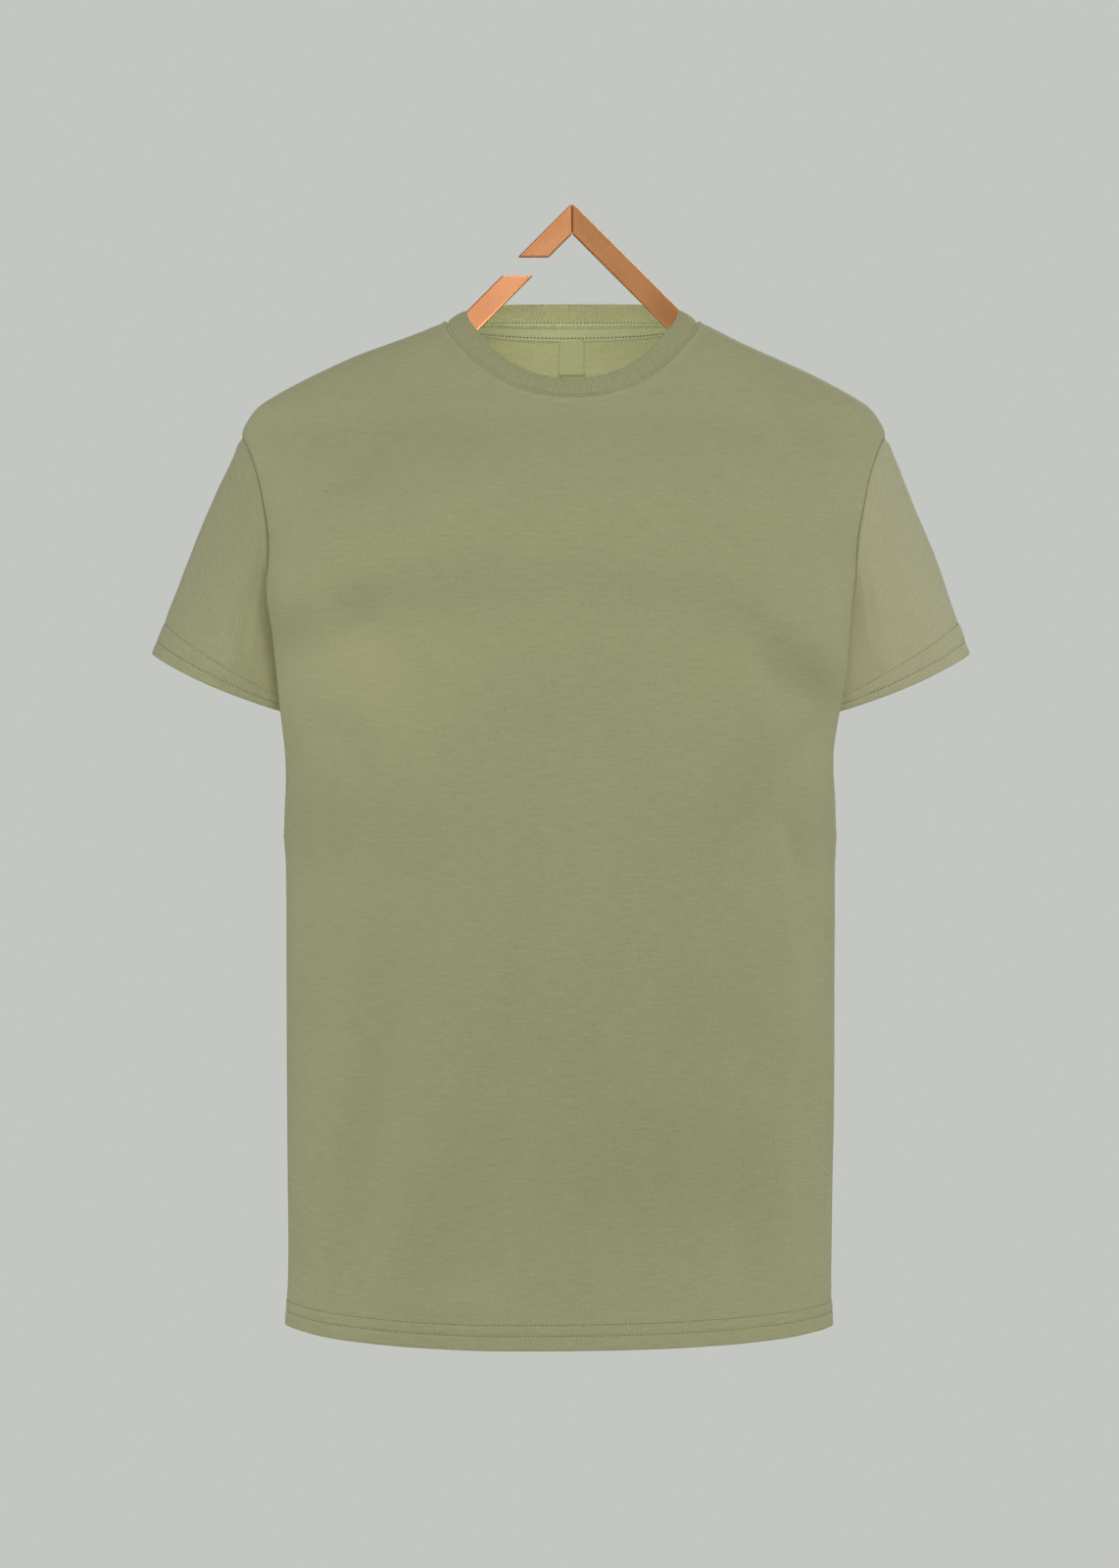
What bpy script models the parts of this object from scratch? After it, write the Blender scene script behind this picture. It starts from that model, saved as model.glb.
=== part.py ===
"""A crew-neck t-shirt with short sleeves, filled out, on an angular flat-bar hanger.

Metres, +Z up. The shirt's front faces -Y. The origin is the inner corner of the hanger's
hook, where a rail carries it. Heights are given as a drop: the distance below the origin.
"""

import math

import bmesh
import bpy
import numpy as np

# The cloth
WALL = 0.0016
SEAM_GAP = 0.0003
INSIDE_GAP = 0.0004
SHIRT_LENGTH = 0.776
ARMPIT_DROP = 0.285

# The neckline, where the band is sewn to the panels
NECK_POINT_DROP = 0.0625
NECK_HALF_WIDTH = 0.0888
BACK_NECK_DROP = 0.0558
BACK_NECK_FLATNESS = 4.0
FRONT_NECK_COLUMNS = ("half_width", "drop")
FRONT_NECK = (
    (-0.0163, 0.1219), (0.0000, 0.1232), (0.0163, 0.1219), (0.0359, 0.1163), (0.0511, 0.1085),
    (0.0637, 0.0987), (0.0770, 0.0833), (0.0850, 0.0725), (NECK_HALF_WIDTH, NECK_POINT_DROP),
)

# The neckband, the tape inside the back neck and the bare label under it
BAND_WIDTH = 0.0150
BAND_WALL = 0.0017
BAND_CROWN = 0.0006
BAND_INWARD = ((0.0, 90.0, 180.0), (0.54, 0.73, 0.20))
BAND_INWARD_SKEW = 0.02
TAPE_ROWS = (0.0003, 0.0071, 0.0120)
TAPE_WALL = 0.0010
TAPE_REACH_COLUMNS = 8
LABEL_WIDTH = 0.0180
LABEL_TOP = 0.0123
LABEL_BOTTOM = 0.0392
LABEL_WALL = 0.0008

# The armhole is an egg in side view, widest below its middle
ARMHOLE_TOP_DROP = 0.146
ARMHOLE_FRONT_DEPTH = 0.056
ARMHOLE_BACK_DEPTH = 0.058
ARMHOLE_EGG = 0.18

# The sleeve's hem is a flattened oval, tilted with the sleeve. A roundness of 1 is a true oval.
SLEEVE_TIP = (0.2910, 0.301)
SLEEVE_INNER = (0.1885, 0.3435)
SLEEVE_HALF_DEPTH = 0.062
SLEEVE_OUTER_ROUNDNESS = 0.84
SLEEVE_INNER_ROUNDNESS = 0.66
SLEEVE_SET_BACK = 0.003
SLEEVE_HEM_SAG = 0.0042
SLEEVE_BULGE_OUT = 0.0022
SLEEVE_BULGE_ROUND = 0.0035
SLEEVE_BULGE_UNDER = 0.0032
UNDERARM_GAP = 0.0015

# The hanger's flat bar, with its outer corner at the hook slightly rounded
BAR_WIDTH = 0.0154
BAR_THICKNESS = 0.0050
BAR_EDGE_ROUNDING = 0.0011
HOOK_CORNER_CUT = 0.0030
HOOK_TIP_DROP = 0.0168
LEFT_ARM_TOP_DROP = 0.0301
LEFT_ARM_INSET = 0.0014
SHOULDER_BAR_REACH = 0.183
BOTTOM_BAR_TOP_DROP = 0.1190
HANGER_CLEARANCE = 0.0014

# One row for each level of the body. Fullness is how far the front or back stays flat, as a
# share of the half width, and how far the side stays flat, as a share of the depth.
BODY_COLUMNS = (
    "drop", "half_width",
    "front_depth", "front_fullness", "front_side_fullness",
    "back_depth", "back_fullness", "back_side_fullness",
)
BODY = (
    (0.0500, 0.0620, 0.012, 0.35, 0.90, 0.0565, 0.62, 0.58),
    (0.0570, 0.0770, 0.015, 0.35, 0.90, 0.0600, 0.62, 0.58),
    (0.0625, 0.0888, 0.019, 0.35, 0.90, 0.0635, 0.60, 0.57),
    (0.0745, 0.1150, 0.029, 0.36, 0.86, 0.0700, 0.52, 0.52),
    (0.0922, 0.1575, 0.042, 0.39, 0.76, 0.0780, 0.48, 0.48),
    (0.1085, 0.1908, 0.054, 0.43, 0.66, 0.0845, 0.48, 0.47),
    (0.1169, 0.2060, 0.059, 0.46, 0.62, 0.0870, 0.49, 0.48),
    (0.1253, 0.2184, 0.065, 0.48, 0.59, 0.0895, 0.51, 0.49),
    (0.1337, 0.2247, 0.070, 0.51, 0.57, 0.0915, 0.53, 0.51),
    (0.1420, 0.2289, 0.076, 0.53, 0.56, 0.0935, 0.55, 0.53),
    (0.1600, 0.2318, 0.091, 0.58, 0.59, 0.0965, 0.59, 0.58),
    (0.1780, 0.2285, 0.103, 0.64, 0.65, 0.0990, 0.62, 0.64),
    (0.2050, 0.2222, 0.114, 0.69, 0.72, 0.1015, 0.65, 0.69),
    (0.2350, 0.2172, 0.117, 0.71, 0.75, 0.1030, 0.66, 0.72),
    (0.2850, 0.2115, 0.119, 0.70, 0.84, 0.1040, 0.66, 0.80),
    (0.3410, 0.2058, 0.118, 0.66, 0.86, 0.1035, 0.63, 0.80),
    (0.3900, 0.2000, 0.117, 0.63, 0.82, 0.1030, 0.60, 0.76),
    (0.4600, 0.1952, 0.116, 0.58, 0.62, 0.1030, 0.57, 0.60),
    (0.6000, 0.1948, 0.114, 0.57, 0.52, 0.1025, 0.56, 0.53),
    (0.7760, 0.1932, 0.112, 0.59, 0.40, 0.1020, 0.57, 0.44),
)

# Where the sleeve lies against the body, the side is pressed in
PRESS_COLUMNS = ("drop", "depth")
PRESS = (
    (0.205, 0.0000), (0.235, 0.0045), (0.262, 0.0155), (0.285, 0.0255),
    (0.312, 0.0250), (0.343, 0.0212), (0.385, 0.0062), (0.430, 0.0000),
)
PRESS_FLAT = 0.018
PRESS_REACH = 0.060

# The shirt hangs a few millimetres to one side of the hook, but its neck is centred on it
LEAN_COLUMNS = ("drop", "shift")
LEAN = ((0.06, -0.0063), (0.20, -0.0060), (0.27, -0.0080), (0.34, -0.0082), (0.70, -0.0084), (0.776, -0.0096))
LEAN_FREE_FROM = 0.090
LEAN_FREE_TO = 0.150
LEAN_CHEST_FROM = 0.125
LEAN_CHEST_TO = 0.300

# Soft drape folds: each runs from its top to its foot. A hollow has a negative height.
FOLD_COLUMNS = ("side", "top_x", "top_drop", "foot_x", "foot_drop", "width", "height")
FOLDS = (
    (-1, -0.040, 0.375, -0.122, 0.790, 0.030, 0.0034),
    (-1, -0.135, 0.400, -0.168, 0.760, 0.024, 0.0022),
    (-1, -0.100, 0.460, -0.148, 0.760, 0.022, -0.0024),
    (-1, 0.112, 0.290, 0.138, 0.560, 0.030, 0.0028),
    (-1, 0.080, 0.500, 0.070, 0.752, 0.078, -0.0052),
    (-1, 0.160, 0.520, 0.168, 0.800, 0.022, 0.0018),
    (-1, -0.165, 0.235, -0.085, 0.345, 0.024, -0.0020),
    (-1, 0.165, 0.235, 0.095, 0.335, 0.024, -0.0016),
    (1, 0.060, 0.330, 0.092, 0.800, 0.036, 0.0030),
    (1, -0.070, 0.300, -0.100, 0.700, 0.030, 0.0026),
    (1, -0.012, 0.420, 0.000, 0.800, 0.034, -0.0024),
    (1, 0.130, 0.300, 0.140, 0.620, 0.026, -0.0020),
    (1, -0.140, 0.400, -0.150, 0.800, 0.026, -0.0018),
)

# How finely each piece is divided. The sleeves and the band share the panels' edge points.
PANEL_HALF_COLUMNS = 22
NECK_COLUMNS = 9
YOKE_ROWS = 13
YOKE_SPACING = 1.35
LOWER_ROWS = 12
LOWER_SPACING = 1.25
SLEEVE_ALONG = 7
BAND_ACROSS = 3
LABEL_ROWS = 3

# Colours (linear RGB), roughness and metallic value
FINISHES = {
    "body_jersey": ((0.295, 0.297, 0.150, 1.0), 0.92, 0.0),
    "sleeve_jersey": ((0.315, 0.317, 0.180, 1.0), 0.92, 0.0),
    "band_rib": ((0.270, 0.272, 0.140, 1.0), 0.92, 0.0),
    "tape_twill": ((0.330, 0.335, 0.180, 1.0), 0.90, 0.0),
    "label_print": ((0.370, 0.375, 0.205, 1.0), 0.80, 0.0),
    "hanger_copper": ((0.560, 0.245, 0.110, 1.0), 0.32, 1.0),
}


def column(table, columns, name):
    """One named column of a table."""
    return np.array([row[columns.index(name)] for row in table])


def smooth(knots, values, at):
    """A smooth curve through the knots that doesn't overshoot between them."""
    knots, values = np.asarray(knots, float), np.asarray(values, float)
    step = np.diff(knots)
    slope = np.diff(values) / step
    before, after = slope[:-1], slope[1:]
    total = np.where(before * after > 0, before + after, 1.0)
    inner = np.where(before * after > 0, 2 * before * after / total, 0.0)
    tangent = np.concatenate([slope[:1], inner, slope[-1:]])
    at = np.clip(np.asarray(at, float), knots[0], knots[-1])
    i = np.clip(np.searchsorted(knots, at, side="right") - 1, 0, len(step) - 1)
    s = (at - knots[i]) / step[i]
    rise = values[i + 1] - values[i]
    start, end = tangent[i] * step[i], tangent[i + 1] * step[i]
    return values[i] + s * (start + s * (3 * rise - 2 * start - end + s * (start + end - 2 * rise)))


def ramp(low, high, at):
    """0 below low, 1 above high, with an even turn at each end."""
    s = np.clip((np.asarray(at, float) - low) / (high - low), 0.0, 1.0)
    return s * s * (3 - 2 * s)


def body(name, drop):
    """A value of the body table at any level."""
    return smooth(column(BODY, BODY_COLUMNS, "drop"), column(BODY, BODY_COLUMNS, name), drop)


def section(side, turn, drop):
    """The x and depth of a level's outline. turn is 0 at the centre line and 1 at the side."""
    face = "front" if side < 0 else "back"
    half = body("half_width", drop)
    deep = body(face + "_depth", drop)
    flat = body(face + "_fullness", drop)
    side_flat = body(face + "_side_fullness", drop)
    rest = 1 - turn
    near = 3 * rest * rest * turn
    far = 3 * rest * turn * turn
    x = half * (near * flat + far + turn**3)
    depth = deep * (rest**3 + near + far * side_flat)
    return x, depth


def turn_at(side, drop, wanted, which):
    """The turn at which a level's outline reaches an x (which = 0) or a depth (which = 1)."""
    low, high = np.zeros_like(drop), np.ones_like(drop)
    for _ in range(46):
        middle = (low + high) / 2
        value = section(side, middle, drop)[which]
        short = value < wanted if which == 0 else value > wanted
        low = np.where(short, middle, low)
        high = np.where(short, high, middle)
    return (low + high) / 2


def fold_relief(side, x, drop):
    """How far the drape folds lift the cloth."""
    lift = np.zeros_like(x)
    for row in FOLDS:
        fold = dict(zip(FOLD_COLUMNS, row))
        if fold["side"] != side:
            continue
        run = fold["foot_drop"] - fold["top_drop"]
        s = (drop - fold["top_drop"]) / run
        middle = fold["top_x"] + (fold["foot_x"] - fold["top_x"]) * s
        across = np.exp(-(((x - middle) / fold["width"]) ** 2))
        fade = ramp(-0.05, 0.35, s) * (1 - ramp(0.75, 1.12, s))
        lift += fold["height"] * across * fade
    return lift


def press(depth, drop):
    """How far the side is pressed in by the sleeve."""
    amount = smooth(column(PRESS, PRESS_COLUMNS, "drop"), column(PRESS, PRESS_COLUMNS, "depth"), drop)
    return amount * (1 - ramp(PRESS_FLAT, PRESS_REACH, depth))


def body_points(side, mirror, turn, drop):
    """Points on the body's outer face, before the lean."""
    x, depth = section(side, turn, drop)
    x = x - press(depth, drop)
    lifted = depth + fold_relief(side, mirror * x, drop) * ramp(0.0, 0.05, depth)
    return np.stack([mirror * x, side * lifted, drop], axis=-1)


def placed(points):
    """From (x, y, drop) to the world, with the lean to one side."""
    x, y, drop = points[..., 0], points[..., 1], points[..., 2]
    shift = smooth(column(LEAN, LEAN_COLUMNS, "drop"), column(LEAN, LEAN_COLUMNS, "shift"), drop)
    free = ramp(LEAN_FREE_FROM, LEAN_FREE_TO, np.abs(x))
    free = np.maximum(free, ramp(LEAN_CHEST_FROM, LEAN_CHEST_TO, drop))
    return np.stack([x + shift * free, y, -drop], axis=-1)


def unit(vectors):
    return vectors / np.linalg.norm(vectors, axis=-1, keepdims=True)


def body_normals(side, mirror, turn, drop):
    """The unit normals of the body's outer face, facing out."""
    nudge = 2e-4

    def face(turn_at_face, drop_at_face):
        return placed(body_points(side, mirror, turn_at_face, drop_at_face))

    along = face(np.minimum(turn + nudge, 1.0), drop) - face(np.maximum(turn - nudge, 0.0), drop)
    down = face(turn, drop + nudge) - face(turn, drop - nudge)
    return unit(np.cross(along, down)) * side * mirror


def evenly(points, shares):
    """Points along a line at the given shares of its length."""
    length = np.linalg.norm(np.diff(points, axis=0), axis=1)
    along = np.concatenate([[0.0], np.cumsum(length)])
    columns = [np.interp(shares * along[-1], along, points[:, k]) for k in range(points.shape[1])]
    return np.stack(columns, axis=-1)


def neckline(side):
    """The neckline of one half, as (x, drop), from the centre line to the neck point."""
    if side < 0:
        x = NECK_HALF_WIDTH * np.sin(np.linspace(0, math.pi / 2, 121))
        widths, drops = (column(FRONT_NECK, FRONT_NECK_COLUMNS, name) for name in FRONT_NECK_COLUMNS)
        drop = smooth(widths, drops, x)
    else:
        x = NECK_HALF_WIDTH * np.sin(np.linspace(0, math.pi / 2, 121))
        rise = (x / NECK_HALF_WIDTH) ** BACK_NECK_FLATNESS
        drop = BACK_NECK_DROP + (NECK_POINT_DROP - BACK_NECK_DROP) * rise
    return np.stack([x, drop], axis=-1)


def shoulder():
    """The shoulder seam as (x, drop), from the neck point to the top of the armhole."""
    drop = np.linspace(NECK_POINT_DROP, ARMHOLE_TOP_DROP, 121)
    return np.stack([body("half_width", drop), drop], axis=-1)


def armhole(side):
    """The armhole of one panel as turn and drop, from its top to the armpit."""
    angle = np.linspace(0, math.pi, 241)
    middle = (ARMHOLE_TOP_DROP + ARMPIT_DROP) / 2
    half = (ARMPIT_DROP - ARMHOLE_TOP_DROP) / 2
    deep = ARMHOLE_FRONT_DEPTH if side < 0 else ARMHOLE_BACK_DEPTH
    drop = middle - half * np.cos(angle)
    depth = deep * np.sin(angle) * (1 - ARMHOLE_EGG * np.cos(angle))
    turn = turn_at(side, drop, depth, 1)
    turn[0] = turn[-1] = 1.0
    return turn, drop


def yoke_shares():
    """The panel's rows above the armpit, as shares of the armhole's length, closer at the shoulder."""
    return np.linspace(0, 1, YOKE_ROWS + 1) ** YOKE_SPACING


def armhole_points(side):
    """The armhole's points as (turn, drop), one for each row of the panel."""
    turn, drop = armhole(side)
    curve = body_points(side, 1, turn, drop)
    length = np.concatenate([[0.0], np.cumsum(np.linalg.norm(np.diff(curve, axis=0), axis=1))])
    along = yoke_shares() * length[-1]
    return np.interp(along, length, turn), np.interp(along, length, drop)


def panel_grid(side):
    """The outer face of the front or the back as rows and columns of points, and its normals."""
    u = np.linspace(0, 1, PANEL_HALF_COLUMNS + 1)
    v = yoke_shares()
    armpit = np.full_like(u, ARMPIT_DROP)
    neck = evenly(neckline(side), np.linspace(0, 1, NECK_COLUMNS + 1))
    ridge = evenly(shoulder(), np.linspace(0, 1, PANEL_HALF_COLUMNS - NECK_COLUMNS + 1))
    top = np.concatenate([neck, ridge[1:]])
    bottom = np.stack([section(side, u, armpit)[0], armpit], axis=-1)
    arm_turn, arm_drop = armhole_points(side)
    right = np.stack([section(side, arm_turn, arm_drop)[0], arm_drop], axis=-1)
    left = np.stack([np.zeros_like(v), top[0, 1] + (ARMPIT_DROP - top[0, 1]) * v], axis=-1)
    uu, vv = u[None, :, None], v[:, None, None]
    corners = (
        (1 - uu) * (1 - vv) * top[0] + uu * (1 - vv) * top[-1]
        + (1 - uu) * vv * bottom[0] + uu * vv * bottom[-1]
    )
    edges = (1 - vv) * top[None] + vv * bottom[None] + (1 - uu) * left[:, None] + uu * right[:, None]
    flat = edges - corners
    drop = flat[..., 1]
    turn = turn_at(side, drop, flat[..., 0], 0)
    turn[0, NECK_COLUMNS:] = 1.0
    turn[:, -1] = arm_turn
    drop[:, -1] = arm_drop
    turn[-1], drop[-1] = u, ARMPIT_DROP
    low_share = (np.arange(1, LOWER_ROWS + 1) / LOWER_ROWS) ** LOWER_SPACING
    low_drop = ARMPIT_DROP + (SHIRT_LENGTH - ARMPIT_DROP) * low_share
    turn = np.concatenate([turn, np.repeat(u[None], LOWER_ROWS, axis=0)])
    drop = np.concatenate([drop, np.repeat(low_drop[:, None], PANEL_HALF_COLUMNS + 1, axis=1)])
    halves = [placed(body_points(side, mirror, turn, drop)) for mirror in (-1, 1)]
    normals = [body_normals(side, mirror, turn, drop) for mirror in (-1, 1)]
    grid, normal = (np.concatenate([half[0][:, :0:-1], half[1]], axis=1) for half in (halves, normals))
    grid[..., 1] += side * SEAM_GAP / 2
    return grid, normal


def grid_normals(grid):
    """Unit normals of a ring-shaped grid of points, facing out from its middle."""
    across = np.roll(grid, -1, axis=1) - np.roll(grid, 1, axis=1)
    normal = unit(np.cross(across, np.gradient(grid, axis=0)))
    return normal * np.sign(((grid - grid.mean(axis=1, keepdims=True)) * normal).sum())


def neck_ring():
    """The neck edge in order from the front centre, as the side, row and column of each point."""
    middle, reach = PANEL_HALF_COLUMNS, NECK_COLUMNS
    right = [(-1, 0, middle + k) for k in range(reach)]
    right += [(1, 0, middle + reach - k) for k in range(reach)]
    left = [(1, 0, middle - k) for k in range(reach)]
    left += [(-1, 0, middle - reach + k) for k in range(reach)]
    return right + left


def armhole_ring(mirror):
    """An armhole's edge in order from its top by the front, as the side, row and column of each point."""
    last = PANEL_HALF_COLUMNS * (1 + mirror)
    front = [(-1, row, last) for row in range(YOKE_ROWS + 1)]
    return front + [(1, row, last) for row in range(YOKE_ROWS - 1, 0, -1)]


def seam_edge(panels, ring):
    """The points and the normals of the panels along a ring. Where two panels meet, it's midway."""
    points = np.array([panels[side][0][row, across] for side, row, across in ring])
    normals = np.array([panels[side][1][row, across] for side, row, across in ring])
    points[:, 1] -= np.where(np.abs(points[:, 1]) < SEAM_GAP, points[:, 1], 0.0)
    return points, normals


def share_normals(panels, ring, own):
    """Turns both sides of a seam to one direction where the cloth runs on, so the rims lie together."""
    points, theirs = seam_edge(panels, ring)
    share = ramp(0.0, 0.4, (own * theirs).sum(axis=-1, keepdims=True))
    middle = unit(own + theirs)
    for (side, row, across), point, normal in zip(ring, points, unit(theirs * (1 - share) + middle * share)):
        for panel in (side, -side) if point[1] == 0.0 else (side,):
            panels[panel][1][row, across] = normal
    return unit(own * (1 - share) + middle * share)


def wall_object(name, outer, inner, closed, finish):
    """A wall between two grids of points. A closed grid joins its last column to its first."""
    rows, columns = outer.shape[:2]
    mesh = bmesh.new()
    layers = [[[mesh.verts.new(point) for point in row] for row in layer] for layer in (outer, inner)]
    spans = [(j, (j + 1) % columns) for j in range(columns if closed else columns - 1)]
    for i in range(rows - 1):
        for j, k in spans:
            for layer in layers:
                mesh.faces.new((layer[i][j], layer[i][k], layer[i + 1][k], layer[i + 1][j]))
    rims = [
        [(layers[0][i][j], layers[0][i][k], layers[1][i][k], layers[1][i][j]) for j, k in spans]
        for i in (0, rows - 1)
    ]
    if not closed:
        rims += [
            [
                (layers[0][i][j], layers[0][i + 1][j], layers[1][i + 1][j], layers[1][i][j])
                for i in range(rows - 1)
            ]
            for j in (0, columns - 1)
        ]
    for rim in rims:
        for corners in rim:
            mesh.faces.new(corners)
    bmesh.ops.recalc_face_normals(mesh, faces=mesh.faces[:])
    return new_object(name, mesh, finish)


def new_object(name, mesh, finish):
    """Puts a bmesh in the shirt's collection as a named object, smooth but for its rims."""
    data = bpy.data.meshes.new(name)
    mesh.to_mesh(data)
    mesh.free()
    data.materials.append(material(finish))
    data.shade_smooth()
    data.set_sharp_from_angle(angle=math.radians(40))
    item = bpy.data.objects.new(name, data)
    bpy.data.collections["t_shirt"].objects.link(item)
    return item


def material(finish):
    """The Principled material of a finish, made once."""
    made = bpy.data.materials.get(finish)
    if made:
        return made
    colour, roughness, metallic = FINISHES[finish]
    made = bpy.data.materials.new(finish)
    made.use_nodes = True
    shader = made.node_tree.nodes["Principled BSDF"]
    shader.inputs["Base Color"].default_value = colour
    shader.inputs["Roughness"].default_value = roughness
    shader.inputs["Metallic"].default_value = metallic
    made.diffuse_color = colour
    return made


def make_neckband(panels):
    """The rib band, sewn to the neck edge and leaning in to the neck."""
    loop, _ = seam_edge(panels, neck_ring())
    turned = np.arctan2(np.abs(loop[:, 0]) / NECK_HALF_WIDTH, -loop[:, 1] / np.abs(loop[:, 1]).max())
    inward = smooth(BAND_INWARD[0], BAND_INWARD[1], np.degrees(turned))
    inward -= BAND_INWARD_SKEW * np.sin(turned) * np.sign(loop[:, 0])
    level = np.hypot(loop[:, 0], loop[:, 1])
    up = np.sqrt(1 - inward**2)
    lean = np.stack([-loop[:, 0] / level * inward, -loop[:, 1] / level * inward, up], axis=-1)
    width = np.linspace(SEAM_GAP, BAND_WIDTH, BAND_ACROSS + 1)[:, None, None]
    outer = loop + lean * width
    normal = grid_normals(outer)
    crown = np.sin(np.linspace(0, math.pi, BAND_ACROSS + 1))[:, None, None]
    outer = outer + normal * crown * BAND_CROWN
    normal[0] = share_normals(panels, neck_ring(), normal[0])
    wall_object("neckband", outer, outer - normal * BAND_WALL, True, "band_rib")


def make_sleeve(name, mirror, panels):
    """A sleeve, from the armhole to its hem."""
    edge, body_normal = seam_edge(panels, armhole_ring(mirror))
    shares = yoke_shares()
    angle = math.pi * np.concatenate([shares, 2 - shares[YOKE_ROWS - 1 : 0 : -1]])
    tip, inner = np.array(SLEEVE_TIP), np.array(SLEEVE_INNER)
    flat = (tip + inner) / 2 + (tip - inner) / 2 * np.cos(angle)[:, None]
    roundness = np.where(np.cos(angle) > 0, SLEEVE_OUTER_ROUNDNESS, SLEEVE_INNER_ROUNDNESS)
    y = SLEEVE_SET_BACK - SLEEVE_HALF_DEPTH * np.sign(np.sin(angle)) * np.abs(np.sin(angle)) ** roundness
    hem_drop = flat[:, 1] + SLEEVE_HEM_SAG * np.sin(angle) ** 2
    hem = placed(np.stack([mirror * flat[:, 0], y, hem_drop], axis=-1))
    low = np.sin(angle / 2)[:, None]
    away = unit(unit(hem - edge) * (1 - low) + body_normal * low)
    below = np.sqrt(np.maximum(-np.cos(angle), 0))[:, None]
    start = edge + away * (SEAM_GAP + UNDERARM_GAP * below)
    tilt = math.atan2(inner[1] - tip[1], tip[0] - inner[0])
    outward = np.array([mirror * math.cos(tilt), 0, math.sin(tilt)])
    bulge = outward * np.maximum(np.cos(angle), 0)[:, None] * SLEEVE_BULGE_OUT
    bulge[:, 1] -= np.sin(angle) * SLEEVE_BULGE_ROUND
    s = np.linspace(0, 1, SLEEVE_ALONG + 1)[:, None, None]
    under = body_normal * below**2 * SLEEVE_BULGE_UNDER
    outer = start * (1 - s) + hem * s + bulge * 4 * s * (1 - s) + under * 9.5 * s * (1 - s) ** 3
    normal = grid_normals(outer)
    normal[0] = share_normals(panels, armhole_ring(mirror), normal[0])
    wall_object(name, outer, outer - normal * WALL, True, "sleeve_jersey")


def inside_panel(panel, distances, across, depth_in):
    """Points inside a panel, by the way down from its neck edge, the column, and the depth in."""
    grid, normal = panel
    layer = grid - normal * depth_in
    lines = []
    for place in across:
        before = min(int(place), layer.shape[1] - 2)
        line = layer[:, before] * (before + 1 - place) + layer[:, before + 1] * (place - before)
        length = np.concatenate([[0.0], np.cumsum(np.linalg.norm(np.diff(line, axis=0), axis=1))])
        lines.append(np.stack([np.interp(distances, length, line[:, k]) for k in range(3)], axis=-1))
    return np.stack(lines, axis=1)


def make_tape(panel):
    """The tape that covers the neck seam inside the back."""
    across = PANEL_HALF_COLUMNS + np.arange(-TAPE_REACH_COLUMNS, TAPE_REACH_COLUMNS + 1)
    layers = [inside_panel(panel, TAPE_ROWS, across, WALL + INSIDE_GAP + more) for more in (0, TAPE_WALL)]
    wall_object("neck_tape", layers[0], layers[1], False, "tape_twill")


def make_label(panel):
    """The bare label inside the back, under the tape."""
    half = LABEL_WIDTH / 2 / (NECK_HALF_WIDTH / NECK_COLUMNS)
    across = PANEL_HALF_COLUMNS + half * np.array([-1, 0, 1])
    down = np.linspace(LABEL_TOP, LABEL_BOTTOM, LABEL_ROWS)
    layers = [inside_panel(panel, down, across, WALL + INSIDE_GAP + more) for more in (0, LABEL_WALL)]
    wall_object("neck_label", layers[0], layers[1], False, "label_print")


def make_bar(name, outline):
    """A flat bar from its outline in x and height, with its edges just rounded."""
    mesh = bmesh.new()
    corners = [mesh.verts.new((x, -BAR_THICKNESS / 2, z)) for x, z in outline]
    face = mesh.faces.new(corners)
    grown = bmesh.ops.extrude_face_region(mesh, geom=[face])["geom"]
    moved = [item for item in grown if isinstance(item, bmesh.types.BMVert)]
    bmesh.ops.translate(mesh, verts=moved, vec=(0, BAR_THICKNESS, 0))
    bmesh.ops.recalc_face_normals(mesh, faces=mesh.faces[:])
    bar = new_object(name, mesh, "hanger_copper")
    rounding = bar.modifiers.new("edge_rounding", "BEVEL")
    rounding.width = BAR_EDGE_ROUNDING
    rounding.segments = 2
    rounding.limit_method = "ANGLE"
    rounding.angle_limit = math.radians(30)
    return bar


def shoulder_bar_line(mirror):
    """Slope and height at x = 0 of the line just under the shoulder seam's inside."""
    ridge = evenly(shoulder(), np.linspace(0, 1, 60))
    points = placed(np.stack([mirror * ridge[:, 0], np.zeros(60), ridge[:, 1]], axis=-1))
    reach = np.abs(points[:, 0])
    used = reach < SHOULDER_BAR_REACH + BAR_WIDTH / 2
    reach, height = reach[used], points[used, 2]
    slope = (height[-1] - height[0]) / (reach[-1] - reach[0])
    drop_to_inside = (WALL + HANGER_CLEARANCE) / math.cos(math.atan(slope)) + BAR_EDGE_ROUNDING / 2
    return slope, (height - slope * reach).min() - drop_to_inside


def meet(line_a, line_b):
    """Where two lines, each a slope and a height at x = 0, cross."""
    x = (line_b[1] - line_a[1]) / (line_a[0] - line_b[0])
    return x, line_a[0] * x + line_a[1]


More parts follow.
